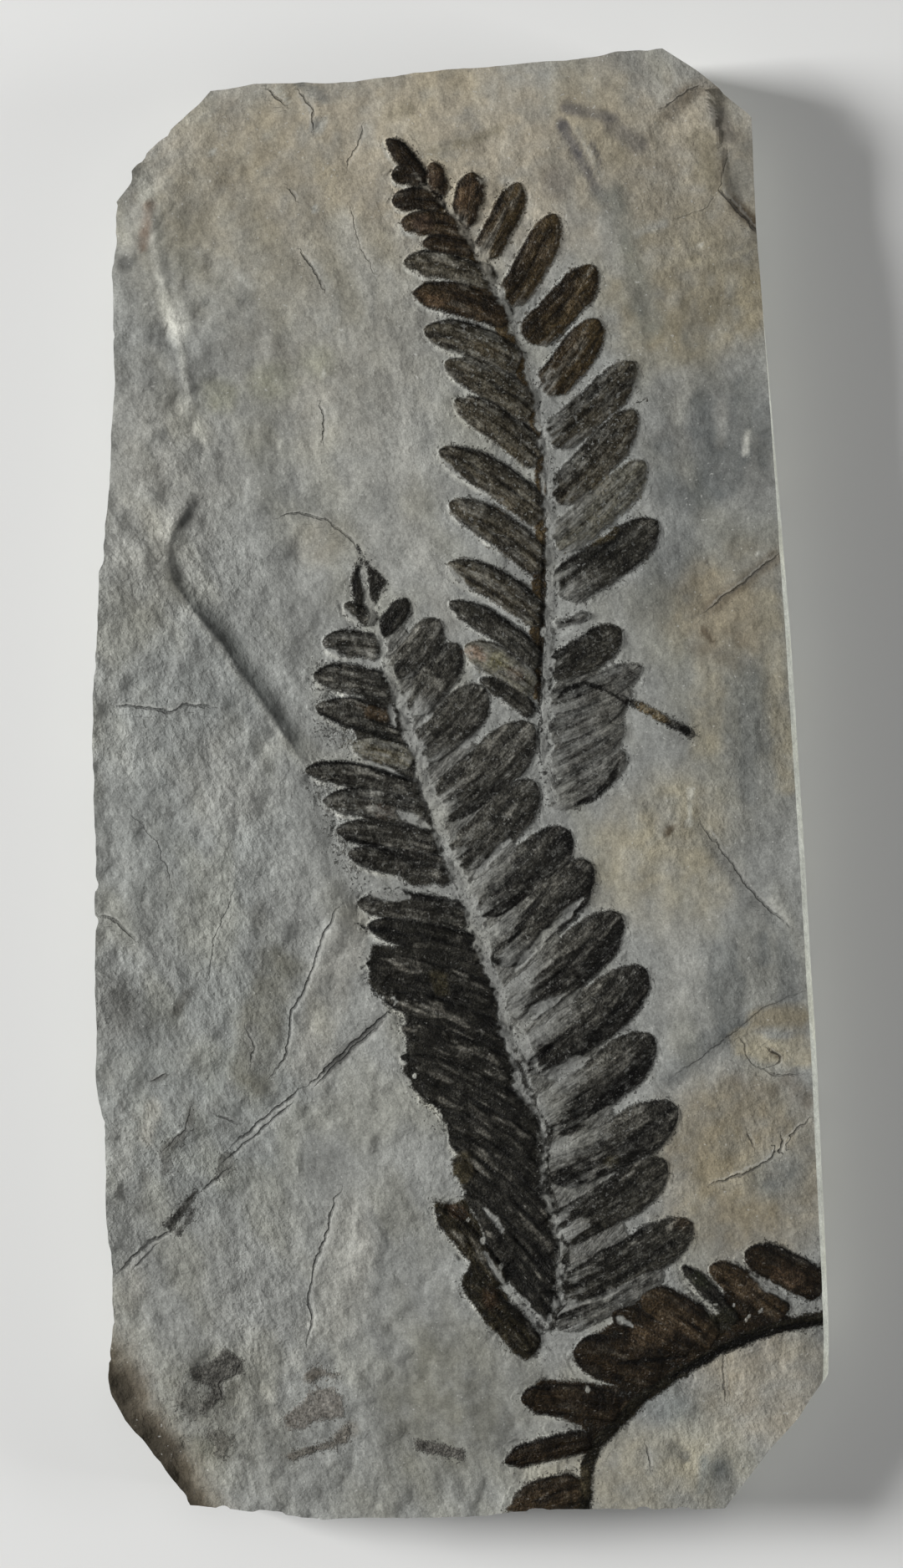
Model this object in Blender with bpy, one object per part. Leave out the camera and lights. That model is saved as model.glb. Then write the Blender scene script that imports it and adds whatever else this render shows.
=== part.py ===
"""Fossil fern plate: a trimmed slab of shale, lying face up, with three fern fronds pressed into its split face.

Metres, +Z up. The origin is the centre of the flat underside, and +Y runs from the thick to the thin
end of the fronds. The slab and the coal film of the fronds are one piece of rock, so they are one solid.
"""

import math

import bmesh
import bpy
from mathutils import Vector, noise

MM = 0.001

# Driving dimensions
SLAB_LENGTH = 160.3 * MM
SLAB_WIDTH = 80.7 * MM
SLAB_THICKNESS = 9.0 * MM
FACE_WARP = 0.35 * MM  # how far the split face rises and dips
LEAFLET_RELIEF = 0.45 * MM  # how far a leaflet's back stands out of the face
LEAFLET_BURIED = 0.15 * MM  # depth of a leaflet's widest level under the face
STEM_RELIEF = 0.35 * MM
SAW_DRAFT = 0.95 * MM  # how far the sawn side leans out at the bottom
EDGE_BREAK = 0.9 * MM  # how deep the broken sides are undercut
GRID = 8.0 * MM  # spacing of the cuts that let the flat prism bend
LAYER_LEVELS = (0.30, 0.62, 0.86)  # bedding levels on the sides, as parts of the thickness

# The split face's outline, clockwise from the upper end of the left side, in millimetres
OUTLINE = (
    (-37.7, 63.4), (-36.0, 66.7), (-34.3, 69.0), (-27.4, 75.5), (-22.4, 76.3), (-12.3, 76.5),
    (0.7, 78.1), (14.9, 79.4), (21.8, 80.1), (25.7, 77.6), (31.6, 72.9), (32.1, 60.0),
    (33.5, 41.7), (35.0, 19.2), (36.6, -6.0), (38.1, -31.0), (39.0, -50.7), (39.4, -60.5),
    (39.3, -65.0), (36.6, -69.0), (33.4, -72.6), (28.6, -78.8), (24.9, -79.0), (10.4, -79.0),
    (0.7, -80.0), (-15.0, -80.2), (-21.1, -79.5), (-29.7, -78.9), (-34.8, -72.0), (-38.6, -67.0),
    (-38.8, -64.8), (-38.2, -58.6), (-38.1, -53.4), (-39.0, -44.8), (-39.8, -33.4), (-40.1, -22.7),
    (-40.0, -8.8), (-40.4, 5.1), (-40.0, 15.0), (-39.0, 26.1), (-38.4, 33.1), (-37.9, 43.7),
    (-38.1, 55.6),
)

# Stems, as points along the middle, and leaflets, as (base x, base y, tip x, tip y, width), in millimetres
UPPER_STEM = ((-4.2, 65.0), (-1.0, 62.0), (3.6, 54.2), (7.0, 46.5), (8.6, 39.5), (9.5, 32.0),
              (9.7, 24.0), (9.2, 12.0), (8.8, 3.5), (9.8, -1.5))
UPPER_LEFT = (
    (-4.6, 65.8, -8.3, 70.2, 1.9), (-4.2, 66.0, -7.7, 66.3, 1.9), (-2.4, 63.3, -7.6, 63.5, 2.4),
    (0.2, 60.6, -6.7, 61.1, 2.3), (2.8, 55.7, -6.3, 57.1, 2.6), (4.9, 51.4, -5.3, 53.8, 3.2),
    (6.2, 48.2, -3.9, 49.6, 2.8), (8.0, 42.0, -2.0, 46.6, 3.2), (8.3, 36.8, -0.6, 42.4, 3.0),
    (8.8, 29.4, -2.3, 36.3, 3.1), (9.0, 23.9, -1.2, 30.4, 3.0), (8.6, 18.3, -1.6, 24.3, 3.0),
    (8.2, 13.2, -1.4, 20.0, 2.0), (7.6, 10.5, 0.3, 15.0, 3.2), (7.3, 8.0, 1.8, 11.5, 1.6),
)
UPPER_RIGHT = (
    (-2.4, 64.3, -3.3, 67.7, 2.0), (0.1, 60.9, 1.3, 66.5, 2.6), (2.4, 57.8, 6.3, 65.4, 3.0),
    (5.3, 52.8, 10.2, 62.0, 3.5), (7.2, 49.0, 14.5, 56.3, 3.9), (8.9, 43.0, 14.9, 50.5, 3.8),
    (9.6, 37.6, 18.8, 45.9, 3.9), (9.9, 31.2, 18.9, 40.6, 4.0), (10.1, 26.5, 19.9, 35.0, 3.6),
    (10.3, 21.0, 21.3, 28.6, 4.6), (9.8, 12.0, 17.3, 16.8, 3.8), (9.9, -1.8, 17.8, 3.3, 3.3),
)
LOWER_STEM = ((-11.2, 25.0), (-10.3, 20.4), (-9.1, 16.3), (-7.5, 10.4), (-5.7, 4.9), (-4.2, 0.0),
              (-2.4, -5.6), (0.6, -12.5), (2.8, -18.0), (5.0, -27.0), (7.2, -35.0), (9.0, -42.0),
              (10.3, -51.0), (10.0, -58.5))
LOWER_LEFT = (
    (-10.7, 20.2, -11.4, 24.2, 1.2), (-9.9, 18.0, -12.7, 19.3, 1.8), (-9.0, 14.8, -15.0, 15.3, 2.4),
    (-7.9, 10.2, -16.2, 11.7, 2.4), (-6.4, 6.2, -15.9, 8.7, 3.0), (-5.4, 2.2, -12.0, 4.2, 2.6),
    (-4.8, -0.7, -17.1, 1.6, 2.4), (-4.2, -2.4, -15.0, -2.2, 3.0), (-2.6, -6.4, -13.8, -4.8, 2.8),
    (-0.6, -10.2, -12.5, -7.2, 3.8), (0.4, -14.2, -11.4, -13.6, 3.2), (1.9, -18.2, -9.9, -16.9, 3.4),
    (3.0, -21.6, -9.7, -20.9, 3.0), (3.8, -25.0, -7.4, -24.2, 3.2), (4.6, -28.4, -6.3, -27.0, 3.2),
    (5.4, -31.7, -6.5, -31.0, 3.2), (6.3, -34.9, -4.6, -33.4, 3.0), (7.1, -38.1, -2.3, -36.4, 3.0),
    (7.9, -41.4, -1.4, -39.0, 3.0), (8.5, -44.8, -1.2, -41.6, 3.2), (9.0, -48.2, 0.4, -44.6, 3.0),
    (7.2, -52.2, -2.8, -46.8, 4.2), (9.6, -52.4, 3.0, -47.2, 3.0), (9.5, -57.6, 4.6, -51.0, 3.2),
    (8.0, -61.9, 0.4, -54.0, 4.0),
)
LOWER_RIGHT = (
    (-9.8, 19.0, -8.9, 23.1, 1.8), (-8.7, 15.4, -6.5, 20.5, 2.7), (-7.4, 11.6, -2.9, 17.9, 3.4),
    (-5.8, 8.0, -0.7, 15.3, 3.6), (-4.9, 3.8, 2.3, 10.4, 3.7), (-3.2, -2.6, 7.8, 6.6, 4.4),
    (-0.8, -8.4, 7.9, -0.2, 4.4), (1.4, -13.0, 11.8, -5.2, 4.7), (3.2, -18.6, 13.8, -8.4, 5.0),
    (5.2, -24.2, 17.3, -14.2, 5.2), (7.0, -30.2, 20.1, -19.8, 5.4), (8.6, -35.8, 20.7, -27.2, 5.3),
    (9.8, -42.4, 23.4, -35.0, 5.2), (10.4, -48.8, 22.3, -41.0, 4.8), (10.6, -55.0, 25.1, -47.8, 5.0),
)
CORNER_STEM = ((39.3, -58.1), (32.6, -59.3), (26.0, -62.4), (19.6, -66.5), (14.6, -71.5), (13.4, -78.0))
CORNER_LEAFLETS = (
    (38.7, -54.7, 30.7, -50.9, 3.5), (35.5, -58.2, 26.7, -52.6, 3.4), (31.0, -59.0, 24.0, -52.4, 2.2),
    (28.0, -62.0, 19.6, -55.7, 4.2), (24.0, -61.0, 16.3, -57.3, 2.6), (22.6, -64.6, 12.4, -61.9, 5.2),
    (17.6, -68.9, 6.4, -66.9, 4.6), (14.4, -71.6, 4.6, -73.9, 3.0), (13.6, -75.4, 6.4, -77.4, 3.0),
)

# Marks in the bedding plane, as points along the middle, in millimetres
LEAF_GROOVE = ((-29.3, 30.9), (-31.4, 27.0), (-31.4, 22.4), (-28.5, 18.1), (-23.5, 11.4), (-16.8, 1.5))
STEM_GROOVE = ((-8.5, -25.2), (-15.0, -31.0), (-23.3, -37.6), (-27.6, -43.6), (-31.1, -47.8), (-37.5, -52.2))
LOW_RIDGE = ((-13.3, -44.6), (-14.6, -49.0), (-16.4, -53.5), (-16.9, -60.7))
HIGH_RIDGE = ((-34.6, 65.3), (-32.7, 55.6), (-30.7, 47.2), (-27.9, 36.8))
LOOSE_STALK = ((13.5, 11.3), (17.0, 9.6), (24.8, 5.5))
CHIP_CENTRE = (32.6, 64.2)


def plain_material(name, colour, roughness):
    """A Principled material of one colour."""
    material = bpy.data.materials.new(name)
    material.use_nodes = True
    shader = material.node_tree.nodes["Principled BSDF"]
    shader.inputs["Base Color"].default_value = (*colour, 1.0)
    shader.inputs["Roughness"].default_value = roughness
    return material


def as_mesh_object(source, name, collection):
    """A curve or modified object turned into a plain closed mesh object; the source is removed."""
    bpy.context.view_layer.update()
    evaluated = source.evaluated_get(bpy.context.evaluated_depsgraph_get())
    mesh = bpy.data.meshes.new_from_object(evaluated)
    matrix = source.matrix_world.copy()
    bpy.data.objects.remove(source)
    shape = bmesh.new()
    shape.from_mesh(mesh)
    bmesh.ops.remove_doubles(shape, verts=shape.verts, dist=0.001 * MM)
    bmesh.ops.recalc_face_normals(shape, faces=shape.faces)
    shape.to_mesh(mesh)
    shape.free()
    result = bpy.data.objects.new(name, mesh)
    result.matrix_world = matrix
    collection.objects.link(result)
    return result


def as_cutter(shape):
    """A helper shape, which isn't part of the finished object."""
    shape.hide_render = True
    shape.display_type = "WIRE"
    return shape


def add_curve(name, points, cyclic):
    """A polyline curve object through points in metres."""
    curve = bpy.data.curves.new(name, "CURVE")
    spline = curve.splines.new("POLY")
    spline.points.add(len(points) - 1)
    for point, (x, y, z) in zip(spline.points, points):
        point.co = (x, y, z, 1.0)
    spline.use_cyclic_u = cyclic
    holder = bpy.data.objects.new(name, curve)
    bpy.context.scene.collection.objects.link(holder)
    return holder


def smoothstep(low, high, value):
    """0 below low, 1 above high and a smooth rise between."""
    t = min(max((value - low) / (high - low), 0.0), 1.0)
    return t * t * (3.0 - 2.0 * t)


def face_height(x, y):
    """How far the split face lies above or below its mean level at a place on the slab."""
    broad = noise.noise(Vector((x / 0.055, y / 0.055, 2.7)))
    fine = noise.noise(Vector((x / 0.021, y / 0.021, 8.1)))
    rise = FACE_WARP * (broad + 0.35 * fine)
    # The lower left corner is worn round: it drops towards the corner cut
    corner_distance = (x + 0.0388) * 0.844 + (y + 0.0648) * 0.536
    worn = 1.6 * MM * (1.0 - smoothstep(-1.0 * MM, 6.0 * MM, corner_distance))
    return rise - worn


def slab_prism(collection):
    """The outline as a flat prism, cut along a grid and along the bedding so that it can be bent."""
    points = [(x * MM, y * MM, 0.0) for x, y in OUTLINE]
    holder = add_curve("slab_outline", points, True)
    holder.data.dimensions = "2D"
    holder.data.fill_mode = "BOTH"
    holder.data.extrude = SLAB_THICKNESS / 2
    holder.location.z = SLAB_THICKNESS / 2
    prism = as_mesh_object(holder, "fossil_slab", collection)
    prism.data.transform(prism.matrix_world)
    prism.location.z = 0.0

    shape = bmesh.new()
    shape.from_mesh(prism.data)
    cuts = [((0.0, 0.0, SLAB_THICKNESS * level), (0.0, 0.0, 1.0)) for level in LAYER_LEVELS]
    across = int(SLAB_WIDTH / GRID / 2)
    along = int(SLAB_LENGTH / GRID / 2)
    cuts += [((step * GRID, 0.0, 0.0), (1.0, 0.0, 0.0)) for step in range(-across, across + 1)]
    cuts += [((0.0, step * GRID, 0.0), (0.0, 1.0, 0.0)) for step in range(-along, along + 1)]
    for place, normal in cuts:
        everything = shape.verts[:] + shape.edges[:] + shape.faces[:]
        bmesh.ops.bisect_plane(shape, geom=everything, dist=0.001 * MM, plane_co=place, plane_no=normal)
    shape.to_mesh(prism.data)
    shape.free()
    return prism


def leaflet(name, row, collection):
    """A low tongue with a round tip, most of it proud of the face: a sphere squeezed flat and drawn out."""
    base_x, base_y, tip_x, tip_y, width = (value * MM for value in row)
    run = Vector((tip_x - base_x, tip_y - base_y, 0.0))
    half_height = LEAFLET_RELIEF + LEAFLET_BURIED
    shape = bmesh.new()
    bmesh.ops.create_uvsphere(shape, u_segments=12, v_segments=4, radius=1.0)
    for vertex in shape.verts:
        along, side, up = vertex.co
        # Fuller than an ellipse, so that the sides run nearly parallel
        full_along = math.copysign(abs(along) ** 0.78, along)
        full_side = math.copysign(abs(side) ** 0.78, side)
        vertex.co = (full_along * run.length / 2 * 1.06, full_side * width / 2 * 1.06, up * half_height)
    mesh = bpy.data.meshes.new(name)
    shape.to_mesh(mesh)
    shape.free()
    result = bpy.data.objects.new(name, mesh)
    result.location = ((base_x + tip_x) / 2, (base_y + tip_y) / 2, SLAB_THICKNESS - LEAFLET_BURIED)
    result.rotation_euler.z = math.atan2(run.y, run.x)
    collection.objects.link(result)
    return as_cutter(result)


def strand(name, points, radius, proud, collection, flare=1.0):
    """A tube along points on the face, with its top this far above it; flare widens its first end."""
    level = SLAB_THICKNESS + proud - radius
    holder = add_curve(name, [(x * MM, y * MM, level) for x, y in points], False)
    holder.data.dimensions = "3D"
    holder.data.bevel_depth = radius
    holder.data.bevel_resolution = 1
    holder.data.use_fill_caps = True
    last = len(points) - 1
    for index, point in enumerate(holder.data.splines[0].points):
        point.radius = flare + (1.0 - flare) * index / last
    return as_cutter(as_mesh_object(holder, name, collection))


def groove_cutter(name, points, width, depth, collection):
    """A tube that cuts a groove of this width and depth in the face."""
    radius = (width * width / 4 + depth * depth) / (2 * depth)
    holder = add_curve(name, [(x * MM, y * MM, SLAB_THICKNESS + radius - depth) for x, y in points], False)
    holder.data.dimensions = "3D"
    holder.data.bevel_depth = radius
    holder.data.bevel_resolution = 3
    holder.data.use_fill_caps = True
    return as_cutter(as_mesh_object(holder, name, collection))


def chip_cutter(collection):
    """A tilted block that takes the small three-cornered chip out of the upper right edge."""
    mesh = bpy.data.meshes.new("corner_chip")
    shape = bmesh.new()
    bmesh.ops.create_cube(shape, size=7.0 * MM)
    shape.to_mesh(mesh)
    shape.free()
    block = bpy.data.objects.new("corner_chip", mesh)
    block.location = (CHIP_CENTRE[0] * MM, CHIP_CENTRE[1] * MM, SLAB_THICKNESS + 2.9 * MM)
    block.rotation_euler = (math.radians(6.0), math.radians(9.0), math.radians(38.0))
    collection.objects.link(block)
    return as_cutter(block)


def combine(body, operation, collection):
    """Joins or cuts the body with every shape of a collection."""
    modifier = body.modifiers.new(operation.lower(), "BOOLEAN")
    modifier.operation = operation
    modifier.solver = "EXACT"
    modifier.operand_type = "COLLECTION"
    modifier.collection = collection
    bpy.context.view_layer.update()
    evaluated = body.evaluated_get(bpy.context.evaluated_depsgraph_get())
    mesh = bpy.data.meshes.new_from_object(evaluated)
    body.modifiers.clear()
    body.data = mesh


def outward_direction(vertex):
    """The horizontal way out of the slab at a vertex of its side, or None at an inner vertex."""
    total = Vector((0.0, 0.0, 0.0))
    for face in vertex.link_faces:
        if abs(face.normal.z) < 0.2 and vertex.co.z < SLAB_THICKNESS + 0.01 * MM:
            total += Vector((face.normal.x, face.normal.y, 0.0))
    return total.normalized() if total.length > 0.1 else None


def break_sides(body):
    """Leans the sawn right side out towards the bottom, and breaks the other sides along the bedding."""
    shape = bmesh.new()
    shape.from_mesh(body.data)
    shape.normal_update()
    moves = {}
    for vertex in shape.verts:
        outward = outward_direction(vertex)
        level = vertex.co.z / SLAB_THICKNESS
        if outward is None or level > 0.99:
            continue
        sawn = smoothstep(0.45, 0.75, outward.x) * smoothstep(-0.2, 0.3, -abs(outward.y) + 0.9)
        draft = SAW_DRAFT * smoothstep(72 * MM, 8 * MM, vertex.co.y) * (1.0 - level)
        rough = noise.noise(Vector((vertex.co.x / 0.006, vertex.co.y / 0.006, level * 7.0)))
        undercut = -EDGE_BREAK * (0.25 + 0.75 * abs(rough)) * (1.0 - level * 0.6)
        moves[vertex] = outward * (draft * sawn + undercut * (1.0 - sawn))
    for vertex, move in moves.items():
        vertex.co += move
    shape.to_mesh(body.data)
    shape.free()


def bend_face(body):
    """Lets the split face and the relief on it rise and dip, and leaves the underside flat."""
    shape = bmesh.new()
    shape.from_mesh(body.data)
    bmesh.ops.triangulate(shape, faces=shape.faces)
    for vertex in shape.verts:
        share = smoothstep(0.62, 1.0, vertex.co.z / SLAB_THICKNESS)
        vertex.co.z += face_height(vertex.co.x, vertex.co.y) * share
    flat = [edge for edge in shape.edges if all(vertex.co.z < 0.01 * MM for vertex in edge.verts)]
    inner = [vertex for vertex in shape.verts if all(edge in set(flat) for edge in vertex.link_edges)]
    bmesh.ops.dissolve_limit(shape, angle_limit=math.radians(0.5), verts=inner, edges=flat)
    bmesh.ops.triangulate(shape, faces=shape.faces)
    shape.to_mesh(body.data)
    shape.free()


def centre_on_origin(body):
    """Moves the mesh so that the box around it is centred over the origin, with its bottom at zero."""
    low = Vector([min(vertex.co[axis] for vertex in body.data.vertices) for axis in range(3)])
    high = Vector([max(vertex.co[axis] for vertex in body.data.vertices) for axis in range(3)])
    middle = (low + high) / 2
    for vertex in body.data.vertices:
        vertex.co -= Vector((middle.x, middle.y, low.z))


def main():
    for old in list(bpy.data.objects):
        bpy.data.objects.remove(old)
    scene = bpy.context.scene
    plate = bpy.data.collections.new("fossil_fern_plate")
    relief = bpy.data.collections.new("raised_shapes")
    grooves = bpy.data.collections.new("groove_cutters")
    for collection in (plate, relief, grooves):
        scene.collection.children.link(collection)

    slab = slab_prism(plate)

    fronds = {
        "upper": UPPER_LEFT + UPPER_RIGHT,
        "lower": LOWER_LEFT + LOWER_RIGHT,
        "corner": CORNER_LEAFLETS,
    }
    for frond, rows in fronds.items():
        for index, row in enumerate(rows):
            leaflet(f"{frond}_leaflet_{index + 1:02d}", row, relief)
    strand("upper_stem", UPPER_STEM, 0.6 * MM, STEM_RELIEF + 0.1 * MM, relief, 0.6)
    strand("lower_stem", LOWER_STEM, 0.8 * MM, STEM_RELIEF + 0.1 * MM, relief, 0.5)
    strand("corner_stem", CORNER_STEM, 0.9 * MM, STEM_RELIEF, relief)
    strand("loose_stalk", LOOSE_STALK, 0.5 * MM, 0.2 * MM, relief)
    strand("low_ridge", LOW_RIDGE, 1.6 * MM, 0.22 * MM, relief)
    strand("high_ridge", HIGH_RIDGE, 1.6 * MM, 0.22 * MM, relief)
    groove_cutter("leaf_groove", LEAF_GROOVE, 2.6 * MM, 0.5 * MM, grooves)
    groove_cutter("stem_groove", STEM_GROOVE, 1.5 * MM, 0.35 * MM, grooves)
    chip_cutter(grooves)

    combine(slab, "DIFFERENCE", grooves)
    combine(slab, "UNION", relief)
    break_sides(slab)
    bend_face(slab)
    centre_on_origin(slab)
    slab.data.materials.clear()
    slab.data.materials.append(plain_material("shale", (0.16, 0.16, 0.15), 0.75))
    slab.data.polygons.foreach_set("material_index", [0] * len(slab.data.polygons))
    slab.data.shade_flat()


main()
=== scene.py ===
"""Fossil fern plate: a trimmed slab of grey shale that lies face up, with the coal film of three fern
fronds pressed into its split face. Lengths are in millimetres until a mesh is made, which is in metres.
"""

import math

import bpy
import numpy as np
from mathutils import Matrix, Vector, noise


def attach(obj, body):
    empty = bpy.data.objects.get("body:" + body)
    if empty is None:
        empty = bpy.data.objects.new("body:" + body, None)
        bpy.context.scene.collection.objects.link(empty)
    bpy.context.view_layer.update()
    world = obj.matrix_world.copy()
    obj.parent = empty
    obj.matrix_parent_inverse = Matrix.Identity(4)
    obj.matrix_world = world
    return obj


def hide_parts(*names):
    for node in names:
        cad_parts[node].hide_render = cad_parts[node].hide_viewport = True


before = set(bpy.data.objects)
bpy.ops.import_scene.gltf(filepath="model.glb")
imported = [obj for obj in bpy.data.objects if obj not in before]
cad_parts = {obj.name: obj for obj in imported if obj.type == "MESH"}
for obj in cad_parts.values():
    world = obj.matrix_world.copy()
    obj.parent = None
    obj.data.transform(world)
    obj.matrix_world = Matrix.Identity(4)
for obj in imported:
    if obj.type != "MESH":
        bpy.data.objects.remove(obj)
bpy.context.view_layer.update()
MM = 0.001


# ---------------------------------------------------------------------------------------------------
# The slab
# One piece of fine grey shale, split open along its bedding and then trimmed: the right side and the
# corners on that side are sawn, the other sides are broken. It lies on its flat back.
# ---------------------------------------------------------------------------------------------------

SLAB_THICKNESS = 9.0
FACE_LEVEL = SLAB_THICKNESS - 0.46  # the split face's middle height, from which it rises and dips
FACE_WARP = 0.35  # how far the face as a whole is bent up and down
RANDOM = np.random.default_rng(41).random((256, 256))

# The face's four sides: left and right from the bottom up, bottom and top from the left
LEFT_SIDE = (
    (-29.7, -78.9), (-32.8, -74.8), (-34.8, -72.0), (-37.0, -69.5), (-38.6, -67.0), (-38.8, -64.8),
    (-38.2, -58.6), (-38.1, -53.4), (-38.6, -50.0), (-39.0, -44.8), (-39.0, -38.2), (-39.8, -33.4),
    (-40.1, -22.7), (-40.0, -8.8), (-40.4, 5.1), (-40.2, 9.0), (-40.0, 15.0), (-39.5, 23.1),
    (-39.0, 24.0), (-39.0, 26.1), (-38.4, 33.1), (-37.9, 43.7), (-38.1, 55.6), (-37.7, 63.4),
    (-36.0, 65.6), (-36.0, 66.7), (-34.3, 69.0), (-30.1, 72.9), (-27.4, 75.5),
)
RIGHT_SIDE = (
    (28.6, -78.8), (33.4, -72.6), (36.6, -69.0), (39.3, -65.0), (39.4, -60.5), (39.0, -50.7),
    (38.1, -31.0), (36.6, -6.0), (35.0, 19.2), (33.5, 41.7), (32.1, 60.0), (31.6, 72.9), (29.6, 74.5),
    (25.7, 77.6), (21.8, 80.1),
)
BOTTOM_SIDE = (
    (-29.7, -78.9), (-21.1, -79.5), (-15.0, -80.2), (0.7, -80.0), (10.4, -79.0), (24.9, -79.0),
    (28.6, -78.8),
)
TOP_SIDE = (
    (-27.4, 75.5), (-24.9, 75.9), (-22.4, 76.3), (-12.3, 76.5), (-6.8, 77.3), (0.7, 78.1), (8.2, 78.7),
    (14.9, 79.4), (19.3, 80.1), (21.8, 80.1),
)

# Colours of the stone, as parts of the plain grey's red, green and blue
PLAIN_GREY = (0.237, 0.241, 0.226)
TAN = (1.27, 1.12, 0.93)
WARM = (1.13, 1.02, 0.82)
PALE = (1.18, 1.15, 1.11)
COOL = (0.94, 0.96, 0.97)
MIST = (0.78, 0.81, 0.83)
DUSK = (0.86, 0.76, 0.60)
DIM = (0.69, 0.675, 0.62)
OLIVE = (0.86, 0.84, 0.66)
SOOT = (0.50, 0.49, 0.48)
INKY = (0.34, 0.335, 0.33)
MAUVE = (0.43, 0.40, 0.415)
SLATE_BLUE = (0.48, 0.50, 0.52)
EARTH = (0.98, 0.85, 0.66)
UMBER = (0.40, 0.32, 0.24)
BURNT = (0.13, 0.11, 0.085)
# Pale chalky stone, and also the colour of painted highlights
CHALK_AND_HIGHLIGHT = (1.75, 1.72, 1.66)
# GLARE is a painted highlight
GLARE = (2.3, 2.25, 2.15)
BUFF = (1.42, 1.26, 0.98)
RUSTY = (0.70, 0.55, 0.46)

# Soft stains, among them soft patches of painted light and shade where the light falls unevenly, and
# GLARE as a painted highlight: centre, half sizes, lean in degrees, colour and strength
STAINS_AND_PAINTED_LIGHT = (
    (-6, 69, 32, 15, 0, TAN, 0.9), (-20, 64, 13, 10, 0, DUSK, 0.35), (24, 68, 15, 13, 0, TAN, 0.7),
    (24, 66, 13, 9, 0, DUSK, 0.3), (25, 54, 11, 11, 0, DUSK, 0.95), (-15, 48, 12, 15, 0, TAN, 0.35),
    (-15, 49, 12, 14, 0, DIM, 0.34), (-9, 34, 11, 15, -15, PALE, 0.45), (-33, 32, 9, 14, 0, PALE, 0.8),
    (-30, 60, 8, 11, 0, WARM, 0.3), (-30, 0, 13, 26, 0, MIST, 0.5), (-28, -32, 14, 18, 0, COOL, 0.9),
    (30, 11, 9, 17, 0, DIM, 0.9), (31, 10, 7, 14, 0, SOOT, 0.2), (22, -8, 8, 9, 0, WARM, 0.8),
    (30, -42, 11, 12, 0, EARTH, 0.85), (33, -66, 8, 8, 0, TAN, 0.7), (18, -75, 13, 6, 0, WARM, 0.6),
    (-28, -70, 10, 9, -20, DIM, 0.8), (-2, -68, 10, 9, 0, DIM, 0.95), (-2, -67, 7, 6, 0, SOOT, 0.25),
    (-12.6, -52, 3.4, 9, -8, PALE, 1.1), (27, 38, 9, 9, 20, SOOT, 0.55), (24, 22, 4, 7, -20, SOOT, 0.4),
    (31, -20, 6, 10, -30, DIM, 0.5), (-38, -25, 3, 4, 0, SOOT, 0.5),
    (-36.6, 56.8, 1.4, 1.2, 0, SOOT, 0.8), (-31.2, 50.6, 1.5, 2.5, 12, GLARE, 0.95),
    (10.4, 65.6, 1.9, 2.2, 0, MAUVE, 0.45), (27.9, -75, 2.0, 2.6, 0, SLATE_BLUE, 0.75),
    (-27, -65, 3.5, 3.5, 30, SOOT, 0.5), (29.5, 18.5, 6.5, 6.5, 0, EARTH, 0.8),
    (-20.7, 43.8, 3.2, 2.6, 0, OLIVE, 0.6), (-26.5, 42.4, 2.6, 2.2, 0, OLIVE, 0.6),
    (-15.7, 46, 2.2, 2.2, 0, OLIVE, 0.5), (-30.5, 56.8, 2.2, 1.8, 0, DIM, 0.5),
    (-32.3, 42.7, 2.0, 2.2, 0, DIM, 0.5), (-15.7, 26.3, 3.4, 3.0, 20, DUSK, 0.4),
    (-22, -14, 1.1, 2.0, 0, SOOT, 0.55), (-37.2, -40, 2.0, 4.2, 0, CHALK_AND_HIGHLIGHT, 0.4),
    (-36.2, -55, 2.2, 3.2, 0, PALE, 0.9), (-16.6, -60, 1.8, 2.6, 0, CHALK_AND_HIGHLIGHT, 0.4),
    (-33, -12, 5, 6, 0, DIM, 0.2), (-25, 0, 6, 5, -50, PALE, 0.4), (-35, 20, 3, 6, 10, DIM, 0.3),
    (24.6, 71.0, 3.0, 4.0, 0, TAN, 0.5), (22.5, -68.0, 3.6, 2.2, 10, MIST, 0.8),
    (34.4, -42.4, 4.0, 3.2, 30, MIST, 0.7), (12, -66, 5, 4, 0, PALE, 0.4), (-8, -76, 8, 3, 0, DIM, 0.3),
    (16, 30.5, 3, 9, -10, MIST, 0.5),
)
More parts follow.
